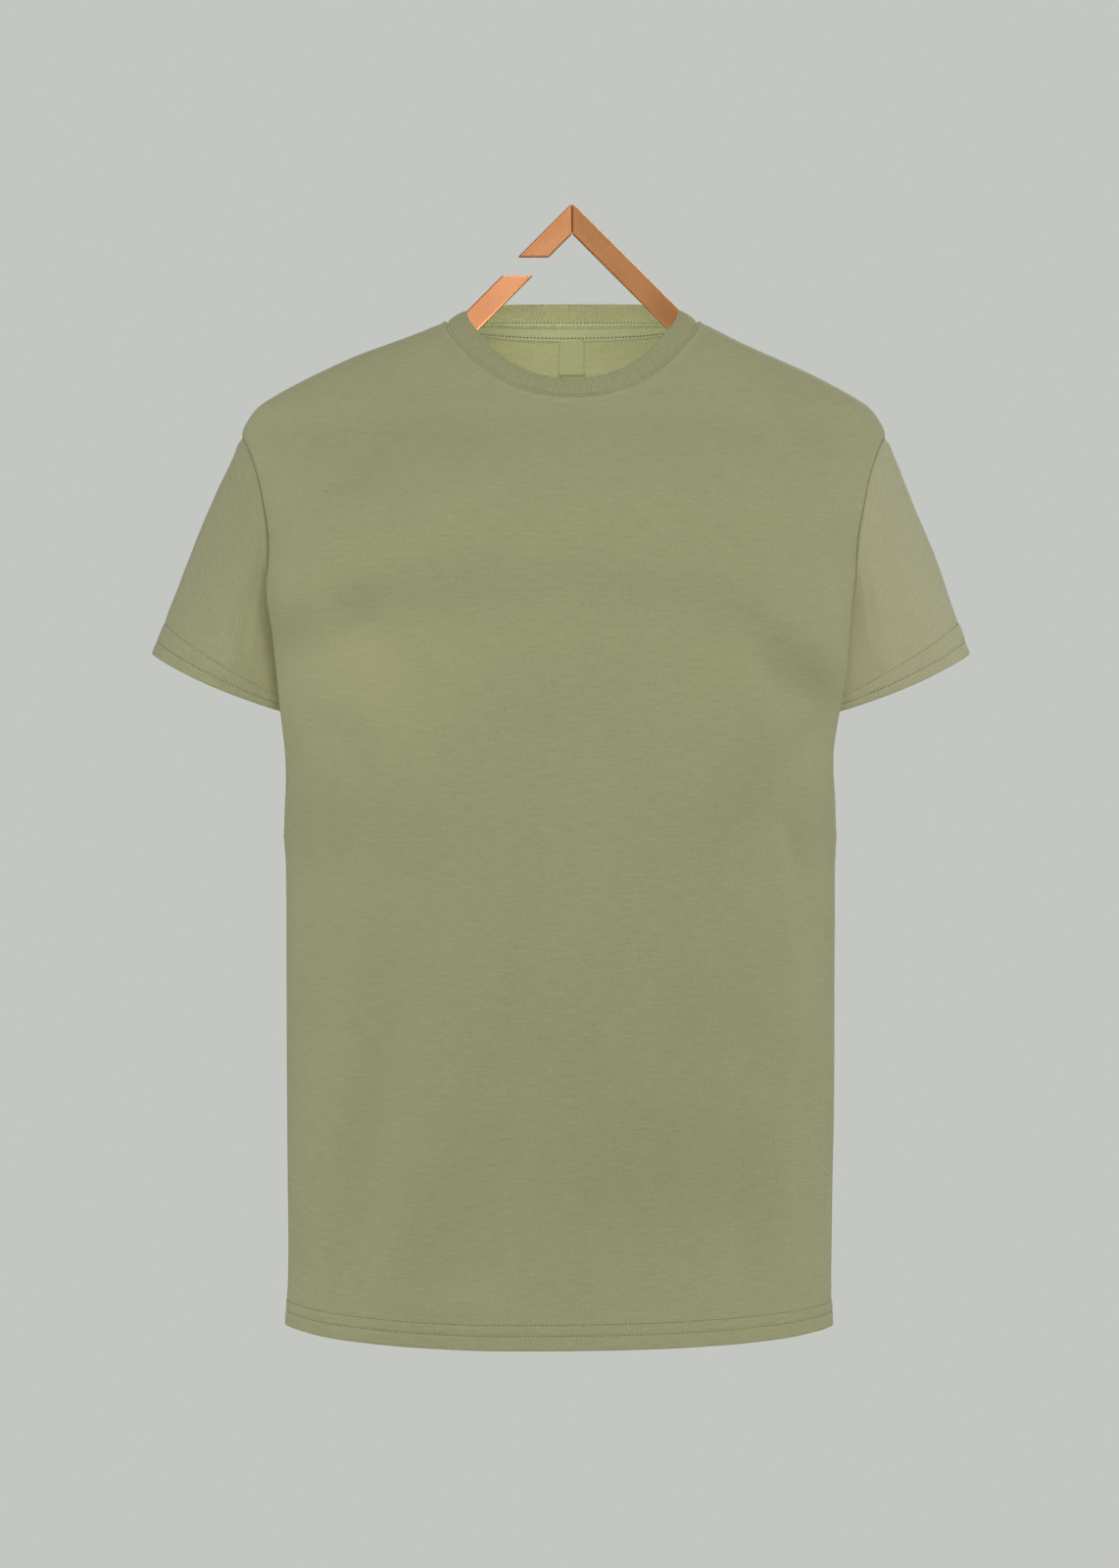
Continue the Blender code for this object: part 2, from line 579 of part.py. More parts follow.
def make_hanger():
    """The hook's short bar, the two arms, the two shoulder bars and the bottom bar."""
    gap = SEAM_GAP / 2
    rise = BAR_WIDTH * math.sqrt(2)
    outer_line, inner_line = (-1.0, rise), (-1.0, 0.0)
    cut = HOOK_CORNER_CUT
    hook = [
        (-gap, -gap), (-gap, rise - cut * 0.30), (-cut * 0.45, rise - cut * 0.55), (-cut, rise - cut),
        (-rise - HOOK_TIP_DROP, -HOOK_TIP_DROP), (-HOOK_TIP_DROP, -HOOK_TIP_DROP),
    ]
    make_bar("hook_bar", hook)
    low_top = (0.0, -BOTTOM_BAR_TOP_DROP)
    low_foot = (0.0, -BOTTOM_BAR_TOP_DROP - BAR_WIDTH)
    ends = {}
    for mirror, word in ((1, "right"), (-1, "left")):
        slope, height = shoulder_bar_line(mirror)
        top_line = (slope, height)
        under_line = (slope, height - BAR_WIDTH * math.hypot(1, slope))
        shift = LEFT_ARM_INSET * math.sqrt(2) if word == "left" else 0.0
        knee_top = meet((outer_line[0], outer_line[1] - shift), top_line)
        knee_under = meet((inner_line[0], inner_line[1] - shift), under_line)
        inner_corner, outer_corner = meet(under_line, low_top), meet(top_line, low_foot)
        reach = SHOULDER_BAR_REACH
        mitre = (outer_corner[1] - inner_corner[1]) / (outer_corner[0] - inner_corner[0])
        end_z = inner_corner[1] + mitre * (reach - inner_corner[0])
        knee = np.array(knee_top) - knee_under
        knee_side = np.array([knee[1], -knee[0]]) / np.hypot(*knee) * gap
        if word == "right":
            start = [
                (gap, -gap), (gap, rise - cut * 0.30), (cut * 0.45, rise - cut * 0.55), (cut, rise - cut),
            ]
        else:
            top = LEFT_ARM_TOP_DROP
            start = [(top - shift, -top), (rise + top - shift, -top)]
        arm = start + [tuple(knee_top - knee_side), tuple(knee_under - knee_side)]
        shoulder_bar = [
            tuple(knee_under + knee_side), tuple(knee_top + knee_side),
            (reach, slope * reach + height), (reach, end_z + gap), (inner_corner[0], inner_corner[1] + gap),
        ]
        make_bar(f"{word}_arm_bar", [(mirror * x, z) for x, z in arm])
        make_bar(f"{word}_shoulder_bar", [(mirror * x, z) for x, z in shoulder_bar])
        ends[word] = [
            (mirror * inner_corner[0], low_top[1] - gap),
            (mirror * reach, end_z - gap), (mirror * reach, low_foot[1]),
        ]
    make_bar("bottom_bar", ends["left"] + ends["right"][::-1])


def main():
    for item in list(bpy.data.objects):
        bpy.data.objects.remove(item)
    bpy.context.scene.collection.children.link(bpy.data.collections.new("t_shirt"))
    panels = {side: panel_grid(side) for side in (-1, 1)}
    make_neckband(panels)
    make_sleeve("right_sleeve", 1, panels)
    make_sleeve("left_sleeve", -1, panels)
    for side, name in ((-1, "front_panel"), (1, "back_panel")):
        grid, normal = panels[side]
        wall_object(name, grid, grid - normal * WALL, False, "body_jersey")
    make_tape(panels[1])
    make_label(panels[1])
    make_hanger()


main()
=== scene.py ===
import math

import bmesh
import bpy
import numpy as np
from mathutils import Matrix, Vector


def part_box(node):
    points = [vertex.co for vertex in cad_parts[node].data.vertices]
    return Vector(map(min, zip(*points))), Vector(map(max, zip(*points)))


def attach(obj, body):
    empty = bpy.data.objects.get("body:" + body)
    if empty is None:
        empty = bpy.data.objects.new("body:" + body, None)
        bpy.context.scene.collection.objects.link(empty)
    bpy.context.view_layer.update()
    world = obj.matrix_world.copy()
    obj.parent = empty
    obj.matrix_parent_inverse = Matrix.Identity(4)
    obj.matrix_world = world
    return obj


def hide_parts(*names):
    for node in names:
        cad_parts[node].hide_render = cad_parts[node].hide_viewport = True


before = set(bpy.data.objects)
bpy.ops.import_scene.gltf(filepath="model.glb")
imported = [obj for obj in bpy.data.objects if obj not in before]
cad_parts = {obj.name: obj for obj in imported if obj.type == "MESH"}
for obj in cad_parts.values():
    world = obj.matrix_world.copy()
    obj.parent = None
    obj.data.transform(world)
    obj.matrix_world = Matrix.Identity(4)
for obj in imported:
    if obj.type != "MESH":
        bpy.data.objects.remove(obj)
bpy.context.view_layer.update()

# The shirt's form, the same sizes as the solids have. Drop is the distance below the hook's inner corner.
shirt = {
    "length": 0.776, "armpit": 0.285, "cloth": 0.0009, "halfSeam": 0.00015,
    "hemTurn": 0.0010, "hemDeep": 0.0185, "hemInside": 0.0195, "fineRows": 24, "fineStep": 0.0010,
    "neckHalf": 0.0888, "neckPoint": 0.0625, "backNeck": 0.0558,
    "neckWidths": (-0.0163, 0.0, 0.0163, 0.0359, 0.0511, 0.0637, 0.0770, 0.0850, 0.0888),
    "neckDrops": (0.1219, 0.1232, 0.1219, 0.1163, 0.1085, 0.0987, 0.0833, 0.0725, 0.0625),
    "armTop": 0.146, "armDeepFront": 0.056, "armDeepBack": 0.058, "armEgg": 0.18,
    "neckShare": 0.45,
}

# Level by level: drop, half width, then depth, fullness and side fullness of the front and of the back
bodyRows = np.array((
    (0.0500, 0.0620, 0.012, 0.35, 0.90, 0.0565, 0.62, 0.58),
    (0.0570, 0.0770, 0.015, 0.35, 0.90, 0.0600, 0.62, 0.58),
    (0.0625, 0.0888, 0.019, 0.35, 0.90, 0.0635, 0.60, 0.57),
    (0.0745, 0.1150, 0.029, 0.36, 0.86, 0.0700, 0.52, 0.52),
    (0.0922, 0.1575, 0.042, 0.39, 0.76, 0.0780, 0.48, 0.48),
    (0.1085, 0.1908, 0.054, 0.43, 0.66, 0.0845, 0.48, 0.47),
    (0.1169, 0.2060, 0.059, 0.46, 0.62, 0.0870, 0.49, 0.48),
    (0.1253, 0.2184, 0.065, 0.48, 0.59, 0.0895, 0.51, 0.49),
    (0.1337, 0.2247, 0.070, 0.51, 0.57, 0.0915, 0.53, 0.51),
    (0.1420, 0.2289, 0.076, 0.53, 0.56, 0.0935, 0.55, 0.53),
    (0.1600, 0.2318, 0.091, 0.58, 0.59, 0.0965, 0.59, 0.58),
    (0.1780, 0.2285, 0.103, 0.64, 0.65, 0.0990, 0.62, 0.64),
    (0.2050, 0.2222, 0.114, 0.69, 0.72, 0.1015, 0.65, 0.69),
    (0.2350, 0.2172, 0.117, 0.71, 0.75, 0.1030, 0.66, 0.72),
    (0.2850, 0.2115, 0.119, 0.70, 0.84, 0.1040, 0.66, 0.80),
    (0.3410, 0.2058, 0.118, 0.66, 0.86, 0.1035, 0.63, 0.80),
    (0.3900, 0.2000, 0.117, 0.63, 0.82, 0.1030, 0.60, 0.76),
    (0.4600, 0.1952, 0.116, 0.58, 0.62, 0.1030, 0.57, 0.60),
    (0.6000, 0.1948, 0.114, 0.57, 0.52, 0.1025, 0.56, 0.53),
    (0.7760, 0.1932, 0.112, 0.59, 0.40, 0.1020, 0.57, 0.44),
))
# How far each level is pressed in under the arms, and how far it hangs to the left
pressRows = np.array((
    (0.205, 0.0000), (0.235, 0.0045), (0.262, 0.0155), (0.285, 0.0255),
    (0.312, 0.0250), (0.343, 0.0212), (0.385, 0.0062), (0.430, 0.0000),
))
leanRows = np.array((
    (0.06, -0.0063), (0.20, -0.0060), (0.27, -0.0080), (0.34, -0.0082), (0.70, -0.0084), (0.776, -0.0096),
))

# Main drape folds: side, top x, top drop, foot x, foot drop, width, height
drapeFolds = (
    (-1, -0.040, 0.375, -0.122, 0.790, 0.030, 0.0034),
    (-1, -0.135, 0.400, -0.168, 0.760, 0.024, 0.0022),
    (-1, -0.100, 0.460, -0.148, 0.760, 0.022, -0.0024),
    (-1, 0.112, 0.290, 0.138, 0.560, 0.030, 0.0028),
    (-1, 0.080, 0.500, 0.070, 0.752, 0.078, -0.0052),
    (-1, 0.160, 0.520, 0.168, 0.800, 0.022, 0.0018),
    (-1, -0.165, 0.235, -0.085, 0.345, 0.024, -0.0020),
    (-1, 0.165, 0.235, 0.095, 0.335, 0.024, -0.0016),
    (1, 0.060, 0.330, 0.092, 0.800, 0.036, 0.0030),
    (1, -0.070, 0.300, -0.100, 0.700, 0.030, 0.0026),
    (1, -0.012, 0.420, 0.000, 0.800, 0.034, -0.0024),
    (1, 0.130, 0.300, 0.140, 0.620, 0.026, -0.0020),
    (1, -0.140, 0.400, -0.150, 0.800, 0.026, -0.0018),
)

# Finer creases on each panel: start x and drop, end x and drop, sideways bow, width, height.
# The shelf is where the chest's fullness turns under: x, drop and height of its ridge.
# Flat is the width, length and area of the cloth laid out.
frontPanel = {
    "side": -1, "node": "front_panel", "columns": 150, "yokeRows": 76, "lowRows": 122,
    "creases": (
        (-0.190, 0.240, -0.040, 0.226, 0.000, 0.0460, 0.0030),
        (-0.230, 0.778, 0.030, 0.792, 0.000, 0.0400, 0.0056),
        (0.230, 0.784, -0.030, 0.794, 0.000, 0.0400, 0.0040),
        (-0.046, 0.390, -0.134, 0.752, 0.026, 0.0190, 0.0026),
        (-0.124, 0.560, -0.152, 0.720, 0.000, 0.0170, -0.0020),
        (-0.150, 0.540, -0.172, 0.735, 0.004, 0.0180, 0.0022),
        (-0.050, 0.560, -0.060, 0.622, 0.000, 0.0055, -0.0017),
        (0.104, 0.275, 0.122, 0.410, 0.004, 0.0260, 0.0049),
        (0.137, 0.425, 0.149, 0.545, 0.004, 0.0090, 0.0030),
        (0.100, 0.415, 0.096, 0.520, 0.002, 0.0150, -0.0023),
        (0.205, 0.694, -0.060, 0.708, 0.000, 0.0760, -0.0130),
        (0.150, 0.560, 0.150, 0.680, 0.000, 0.0180, -0.0030),
        (-0.188, 0.330, -0.122, 0.350, 0.008, 0.0200, 0.0027),
        (-0.170, 0.345, -0.128, 0.425, 0.006, 0.0150, -0.0019),
        (0.178, 0.345, 0.128, 0.366, -0.008, 0.0150, 0.0023),
        (0.166, 0.352, 0.136, 0.430, -0.006, 0.0120, -0.0019),
        (-0.142, 0.420, -0.146, 0.560, 0.004, 0.0110, 0.0021),
        (0.036, 0.430, 0.044, 0.560, 0.006, 0.0140, -0.0017),
        (0.006, 0.470, 0.010, 0.600, -0.004, 0.0130, 0.0015),
        (0.044, 0.640, 0.036, 0.760, 0.004, 0.0130, 0.0017),
        (0.120, 0.620, 0.112, 0.765, 0.004, 0.0120, -0.0019),
        (0.150, 0.560, 0.160, 0.720, -0.004, 0.0110, 0.0019),
        (-0.004, 0.660, -0.014, 0.770, 0.003, 0.0120, 0.0019),
        (-0.058, 0.165, -0.118, 0.236, 0.010, 0.0160, 0.0021),
        (-0.034, 0.200, -0.086, 0.238, 0.006, 0.0120, 0.0013),
        (0.066, 0.168, 0.112, 0.240, -0.010, 0.0150, 0.0017),
        (-0.130, 0.142, -0.182, 0.205, 0.006, 0.0110, -0.0019),
        (0.132, 0.142, 0.184, 0.205, -0.006, 0.0110, -0.0019),
        (-0.172, 0.160, -0.196, 0.230, 0.004, 0.0090, 0.0015),
        (0.174, 0.160, 0.198, 0.232, -0.004, 0.0090, 0.0015),
        (-0.170, 0.690, -0.176, 0.770, 0.002, 0.0090, 0.0017),
        (0.176, 0.640, 0.180, 0.768, 0.002, 0.0090, 0.0017),
        (-0.120, 0.748, -0.030, 0.752, 0.003, 0.0110, 0.0015),
    ),
    "shelf": (
        (-0.205, 0.266, 0.0106), (-0.165, 0.254, 0.0106), (-0.100, 0.240, 0.0068), (0.000, 0.233, 0.0051),
        (0.060, 0.236, 0.0053), (0.108, 0.250, 0.0072), (0.142, 0.282, 0.0091), (0.200, 0.322, 0.0084),
    ),
    "flat": (0.610, 0.782, 0.363),
}
backPanel = {
    "side": 1, "node": "back_panel", "columns": 150, "yokeRows": 76, "lowRows": 122,
    "creases": (
        (-0.160, 0.262, -0.062, 0.300, 0.012, 0.0120, -0.0034),
        (0.164, 0.258, 0.070, 0.296, -0.012, 0.0115, -0.0032),
        (-0.172, 0.300, -0.104, 0.360, 0.010, 0.0095, 0.0027),
        (0.174, 0.304, 0.112, 0.372, -0.008, 0.0095, 0.0025),
        (0.056, 0.360, 0.080, 0.570, 0.006, 0.0100, 0.0034),
        (0.078, 0.540, 0.098, 0.766, -0.005, 0.0105, 0.0032),
        (-0.070, 0.330, -0.092, 0.530, -0.006, 0.0100, 0.0032),
        (-0.092, 0.500, -0.108, 0.730, 0.005, 0.0110, -0.0029),
        (-0.012, 0.420, -0.002, 0.690, 0.006, 0.0130, -0.0030),
        (0.128, 0.330, 0.142, 0.560, 0.005, 0.0095, -0.0029),
        (-0.142, 0.420, -0.150, 0.660, -0.004, 0.0095, -0.0027),
        (0.030, 0.560, 0.040, 0.764, 0.004, 0.0120, 0.0025),
        (-0.045, 0.600, -0.052, 0.766, 0.004, 0.0110, 0.0025),
        (0.130, 0.620, 0.138, 0.766, -0.003, 0.0095, 0.0025),
        (-0.122, 0.600, -0.130, 0.768, 0.003, 0.0090, 0.0023),
        (-0.050, 0.130, -0.118, 0.206, 0.012, 0.0140, -0.0027),
        (0.052, 0.130, 0.120, 0.206, -0.012, 0.0140, -0.0027),
        (-0.042, 0.098, 0.042, 0.099, -0.008, 0.0110, -0.0019),
        (-0.110, 0.170, -0.160, 0.228, 0.006, 0.0100, 0.0019),
        (0.112, 0.170, 0.162, 0.228, -0.006, 0.0100, 0.0019),
        (-0.130, 0.742, -0.030, 0.748, 0.004, 0.0095, 0.0017),
        (0.040, 0.746, 0.140, 0.740, 0.004, 0.0095, 0.0017),
    ),
    "shelf": (
        (-0.205, 0.268, 0.0038), (-0.150, 0.246, 0.0034), (0.000, 0.232, 0.0023), (0.150, 0.250, 0.0034),
        (0.200, 0.272, 0.0038),
    ),
    "flat": (0.566, 0.790, 0.358),
}
sleeves = {
    "tip": (0.2910, 0.301), "inner": (0.1885, 0.3435), "halfDeep": 0.062, "setBack": 0.003,
    "sag": 0.0042, "outerRound": 0.84, "innerRound": 0.66,
    "bulgeOut": 0.0022, "bulgeRound": 0.0035, "bulgeUnder": 0.0032, "gap": 0.00025,
    "around": 160, "along": 74, "seamRows": 12, "hemRows": 22, "hemReach": 0.021,
    "hemDeep": 0.0170, "stitchRows": (0.0070, 0.0165),
    # Creases: angle from the top by the front (share of a turn), share along, to the same, width, height
    "creases": (
        (0.16, 0.10, 0.20, 0.95, 0.030, 0.0012), (0.26, 0.05, 0.30, 0.80, 0.024, -0.0013),
        (0.36, 0.02, 0.37, 0.70, 0.022, 0.0013), (0.09, 0.30, 0.10, 0.96, 0.024, -0.0009),
        (0.44, 0.00, 0.42, 0.55, 0.020, -0.0014), (0.31, 0.45, 0.25, 0.98, 0.022, 0.0009),
        (0.60, 0.05, 0.64, 0.70, 0.026, 0.0012), (0.72, 0.05, 0.74, 0.90, 0.026, -0.0012),
        (0.84, 0.10, 0.82, 0.95, 0.028, 0.0011), (0.93, 0.35, 0.92, 0.96, 0.022, -0.0009),
        (0.55, 0.00, 0.56, 0.45, 0.020, -0.0012),
    ),
}
band = {
    "width": 0.0150, "wall": 0.0017, "rim": 0.0008, "crown": 0.0006, "gap": 0.0002,
    "around": 264, "skew": 0.02,
    "leanAngles": (0.0, 60.0, 90.0, 120.0, 180.0), "lean": (0.54, 0.68, 0.85, 0.66, 0.20),
}
tape = {
    "overBand": 0.0042, "bottom": 0.0128, "reach": 0.400, "thick": 0.0008, "overFoot": 0.0014, "columns": 96,
    "stitchRows": (0.0010, 0.0132), "bold": 1.7,
}
label = {"top": 0.0100, "bottom": 0.0392, "half": 0.0090, "thick": 0.0002, "overTape": 0.0003}
stitching = {
    "pitch": 0.0027, "long": 0.0017, "wide": 0.00075, "high": 0.00045, "lift": 0.00008,
    "bodyRows": (0.0098, 0.0170), "neckRows": (0.0030,),
}
# Sections across the seams: distance from the seam, width, height. Seams dip where they are sewn, and the
# neck's allowance makes a small ridge under its topstitching.
seamSection = ((0.0, 0.0022, -0.0007), (0.0050, 0.0022, 0.0004))
neckSection = ((0.0, 0.0012, -0.0003), (0.0036, 0.0020, 0.0006), (0.0072, 0.0020, -0.0003))
sleeveSection = ((0.0, 0.0016, -0.0006), (0.0042, 0.0020, 0.0004))


def smoothCurve(knots, values, at):
    # A smooth curve through the knots that doesn't overshoot
    knots, values = np.asarray(knots, float), np.asarray(values, float)
    step = np.diff(knots)
    slope = np.diff(values) / step
    total = np.where(slope[:-1] * slope[1:] > 0, slope[:-1] + slope[1:], 1.0)
    inner = np.where(slope[:-1] * slope[1:] > 0, 2 * slope[:-1] * slope[1:] / total, 0.0)
    tangent = np.concatenate([slope[:1], inner, slope[-1:]])
    at = np.clip(np.asarray(at, float), knots[0], knots[-1])
    i = np.clip(np.searchsorted(knots, at, side="right") - 1, 0, len(step) - 1)
    s = (at - knots[i]) / step[i]
    rise = values[i + 1] - values[i]
    start, end = tangent[i] * step[i], tangent[i + 1] * step[i]
    return values[i] + s * (start + s * (3 * rise - 2 * start - end + s * (start + end - 2 * rise)))


def ramp(low, high, at):
    s = np.clip((np.asarray(at, float) - low) / (high - low), 0.0, 1.0)
    return s * s * (3 - 2 * s)


def unit(vectors):
    return vectors / np.linalg.norm(vectors, axis=-1, keepdims=True)


def hump(at, centre, width):
    return np.exp(-(((at - centre) / width) ** 2))


def section(rows, distance):
    return sum(height * hump(distance, centre, width) for centre, width, height in rows)


def lengthsAlong(points):
    step = np.linalg.norm(np.diff(points, axis=0), axis=-1)
    return np.concatenate([np.zeros_like(step[:1]), np.cumsum(step, axis=0)])


def lengthsAcross(points):
    return lengthsAlong(points.transpose(1, 0, 2)).T


def pointsAt(where, along, rows):
    # Points or normals of a line at these distances along it
    return np.stack([np.interp(where, along, rows[:, k]) for k in range(rows.shape[1])], axis=-1)


def bodyValue(place, drop):
    return smoothCurve(bodyRows[:, 0], bodyRows[:, place], drop)


def bodyOutline(side, turn, drop):
    # x and depth of a level, from the centre line (turn 0) to the side (turn 1)
    first = 2 if side < 0 else 5
    half, deep = bodyValue(1, drop), bodyValue(first, drop)
    flat, sideFlat = bodyValue(first + 1, drop), bodyValue(first + 2, drop)
    rest = 1 - turn
    near, far = 3 * rest * rest * turn, 3 * rest * turn * turn
    return half * (near * flat + far + turn**3), deep * (rest**3 + near + far * sideFlat)


def turnAt(side, drop, wanted, which):
    low, high = np.zeros_like(drop), np.ones_like(drop)
    for _ in range(40):
        middle = (low + high) / 2
        value = bodyOutline(side, middle, drop)[which]
        short = value < wanted if which == 0 else value > wanted
        low, high = np.where(short, middle, low), np.where(short, high, middle)
    return (low + high) / 2


def drapeLift(side, x, drop):
    lift = np.zeros_like(x)
    for foldSide, topX, topDrop, footX, footDrop, width, height in drapeFolds:
        if foldSide == side:
            s = (drop - topDrop) / (footDrop - topDrop)
            across = hump(x - topX, (footX - topX) * s, width)
            lift += height * across * ramp(-0.05, 0.35, s) * (1 - ramp(0.75, 1.12, s))
    return lift


def bodyPoints(side, mirror, turn, drop):
    x, depth = bodyOutline(side, turn, drop)
    x = x - smoothCurve(pressRows[:, 0], pressRows[:, 1], drop) * (1 - ramp(0.018, 0.060, depth))
    lifted = depth + drapeLift(side, mirror * x, drop) * ramp(0.0, 0.05, depth)
    return np.stack([mirror * x, side * lifted, drop], axis=-1)


def leaned(points):
    # To world coordinates, with the shirt hanging a few millimetres to one side
    x, y, drop = points[..., 0], points[..., 1], points[..., 2]
    free = np.maximum(ramp(0.090, 0.150, np.abs(x)), ramp(0.125, 0.300, drop))
    return np.stack([x + smoothCurve(leanRows[:, 0], leanRows[:, 1], drop) * free, y, -drop], axis=-1)


def bodyNormals(side, mirror, turn, drop):
    nudge = 2e-4
    face = lambda t, d: leaned(bodyPoints(side, mirror, t, d))
    along = face(np.minimum(turn + nudge, 1.0), drop) - face(np.maximum(turn - nudge, 0.0), drop)
    return unit(np.cross(along, face(turn, drop + nudge) - face(turn, drop - nudge))) * side * mirror


def spaced(points, shares):
    along = lengthsAlong(points)
    return pointsAt(shares * along[-1], along, points)


def neckEdge(side):
    x = shirt["neckHalf"] * np.sin(np.linspace(0, math.pi / 2, 241))
    if side < 0:
        drop = smoothCurve(shirt["neckWidths"], shirt["neckDrops"], x)
    else:
        drop = shirt["backNeck"] + (shirt["neckPoint"] - shirt["backNeck"]) * (x / shirt["neckHalf"]) ** 4
    return np.stack([x, drop], axis=-1)


def shoulderEdge():
    drop = np.linspace(shirt["neckPoint"], shirt["armTop"], 241)
    return np.stack([bodyValue(1, drop), drop], axis=-1)


def armholeEdge(side, shares):
    # Turn and drop of the armhole's edge at shares of its length, from its top to the armpit
    angle = np.linspace(0, math.pi, 481)
    half = (shirt["armpit"] - shirt["armTop"]) / 2
    deep = shirt["armDeepFront"] if side < 0 else shirt["armDeepBack"]
    drop = shirt["armTop"] + half - half * np.cos(angle)
    turn = turnAt(side, drop, deep * np.sin(angle) * (1 - shirt["armEgg"] * np.cos(angle)), 1)
    turn[0] = turn[-1] = 1.0
    along = lengthsAlong(bodyPoints(side, 1, turn, drop))
    return np.interp(shares * along[-1], along, turn), np.interp(shares * along[-1], along, drop)


def panelPlaces(side, u, v, lowDrops):
    # Turn and drop of every point of a half panel: the yoke between its edges, then level rows under the arm
    share = shirt["neckShare"]
    neck = spaced(neckEdge(side), u[u <= share] / share)
    ridge = spaced(shoulderEdge(), (u[u > share] - share) / (1 - share))
    top = np.concatenate([neck, ridge])
    armpit = np.full_like(u, shirt["armpit"])
    bottom = np.stack([bodyOutline(side, u, armpit)[0], armpit], axis=-1)
    armTurn, armDrop = armholeEdge(side, v)
    right = np.stack([bodyOutline(side, armTurn, armDrop)[0], armDrop], axis=-1)
    left = np.stack([np.zeros_like(v), top[0, 1] + (shirt["armpit"] - top[0, 1]) * v], axis=-1)
    uu, vv = u[None, :, None], v[:, None, None]
    corners = (1 - uu) * (1 - vv) * top[0] + uu * (1 - vv) * top[-1]
    corners = corners + (1 - uu) * vv * bottom[0] + uu * vv * bottom[-1]
    flat = (1 - vv) * top[None] + vv * bottom[None] + (1 - uu) * left[:, None] + uu * right[:, None] - corners
    drop = flat[..., 1]
    turn = turnAt(side, drop, flat[..., 0], 0)
    turn[0, u > share - 1e-9] = 1.0
    turn[:, -1], drop[:, -1] = armTurn, armDrop
    turn[-1], drop[-1] = u, shirt["armpit"]
    turn = np.concatenate([turn, np.repeat(u[None], len(lowDrops), axis=0)])
    drop = np.concatenate([drop, np.repeat(lowDrops[:, None], len(u), axis=1)])
    return turn, drop


def softNoise(points, size, seed):
    # Smooth uneven waves of about this size, the same in each run
    chance = np.random.default_rng(seed)
    total = np.zeros(points.shape[:-1])
    for _ in range(7):
        way = unit(chance.normal(size=3))
        wave = size * chance.uniform(0.75, 1.5)
        total += np.sin(points @ way * 2 * math.pi / wave + chance.uniform(0, 6.28))
    return total / 3.0


def creaseLift(creases, across, down):
    # Each crease is a ridge with a shallower hollow beside it, fading at both ends
    lift = np.zeros_like(across)
    for startX, startDown, endX, endDown, bow, width, height in creases:
        way = np.array([endX - startX, endDown - startDown])
        reach = np.hypot(*way)
        way /= reach
        s = ((across - startX) * way[0] + (down - startDown) * way[1]) / reach
        within = np.clip(s, 0, 1)
        off = (across - startX) * way[1] - (down - startDown) * way[0] - bow * (1 - (2 * within - 1) ** 2)
        wide = width * (0.75 + 0.5 * within)
        profile = hump(off, 0, wide) - 0.45 * hump(off, 1.7 * wide, 1.2 * wide)
        lift += height * profile * ramp(-0.12, 0.35, s) * (1 - ramp(0.62, 1.15, s))
    return lift


def shelfLift(ridge, across, down):
    # The chest stands out above this line and turns under below it
    ridge = np.array(ridge)
    off = down - smoothCurve(ridge[:, 0], ridge[:, 1], across)
    above, below, hollowAt, hollowWide, hollowDeep = 0.048, 0.028, 0.042, 0.026, 0.40
    hollow = hollowDeep * hump(np.maximum(off, 0), hollowAt, hollowWide)
    profile = hump(off, 0, np.where(off < 0, above, below)) - hollow
    return smoothCurve(ridge[:, 0], ridge[:, 2], across) * profile


def gridNormals(points):
    # Normals of a grid of points, rows by columns
    return unit(np.cross(np.gradient(points, axis=1), np.gradient(points, axis=0)))


def clothFromGrid(name, points, uv, outward, closed=False, thick=None):
    # A grid sheet with each vertex moved to its place on the form, its own map in metres, and a wall. Its
    # middle faces the way that outward gives there.
    rows, columns = points.shape[:2]
    mesh = bmesh.new()
    uvLayer = mesh.loops.layers.uv.new("clothMap")
    bmesh.ops.create_grid(mesh, x_segments=columns - 1, y_segments=rows - 1, size=1.0)
    for vertex in mesh.verts:
        j, i = round((vertex.co.x + 1) / 2 * (columns - 1)), round((vertex.co.y + 1) / 2 * (rows - 1))
        vertex.index = i * columns + j
    flatPoints, flatUv = points.reshape(-1, 3), uv.reshape(-1, 2)
    for face in mesh.faces:
        for loop in face.loops:
            loop[uvLayer].uv = flatUv[loop.vert.index]
    for vertex in mesh.verts:
        vertex.co = flatPoints[vertex.index]
    mesh.normal_update()
    middle = (rows // 2) * columns + columns // 2
    probe = next(vertex for vertex in mesh.verts if vertex.index == middle)
    if probe.normal.dot(Vector(outward[rows // 2, columns // 2])) < 0:
        bmesh.ops.reverse_faces(mesh, faces=mesh.faces[:])
    if closed:
        bmesh.ops.remove_doubles(mesh, verts=mesh.verts[:], dist=1e-6)
    piece = pieceFrom(name, mesh)
    if thick:
        wall = piece.modifiers.new("clothThickness", "SOLIDIFY")
        wall.thickness, wall.offset = thick, -1.0
    return piece


def pieceFrom(name, mesh):
    data = bpy.data.meshes.new(name)
    mesh.to_mesh(data)
    mesh.free()
    data.shade_smooth()
    piece = bpy.data.objects.new(name, data)
    bpy.context.scene.collection.objects.link(piece)
    return piece


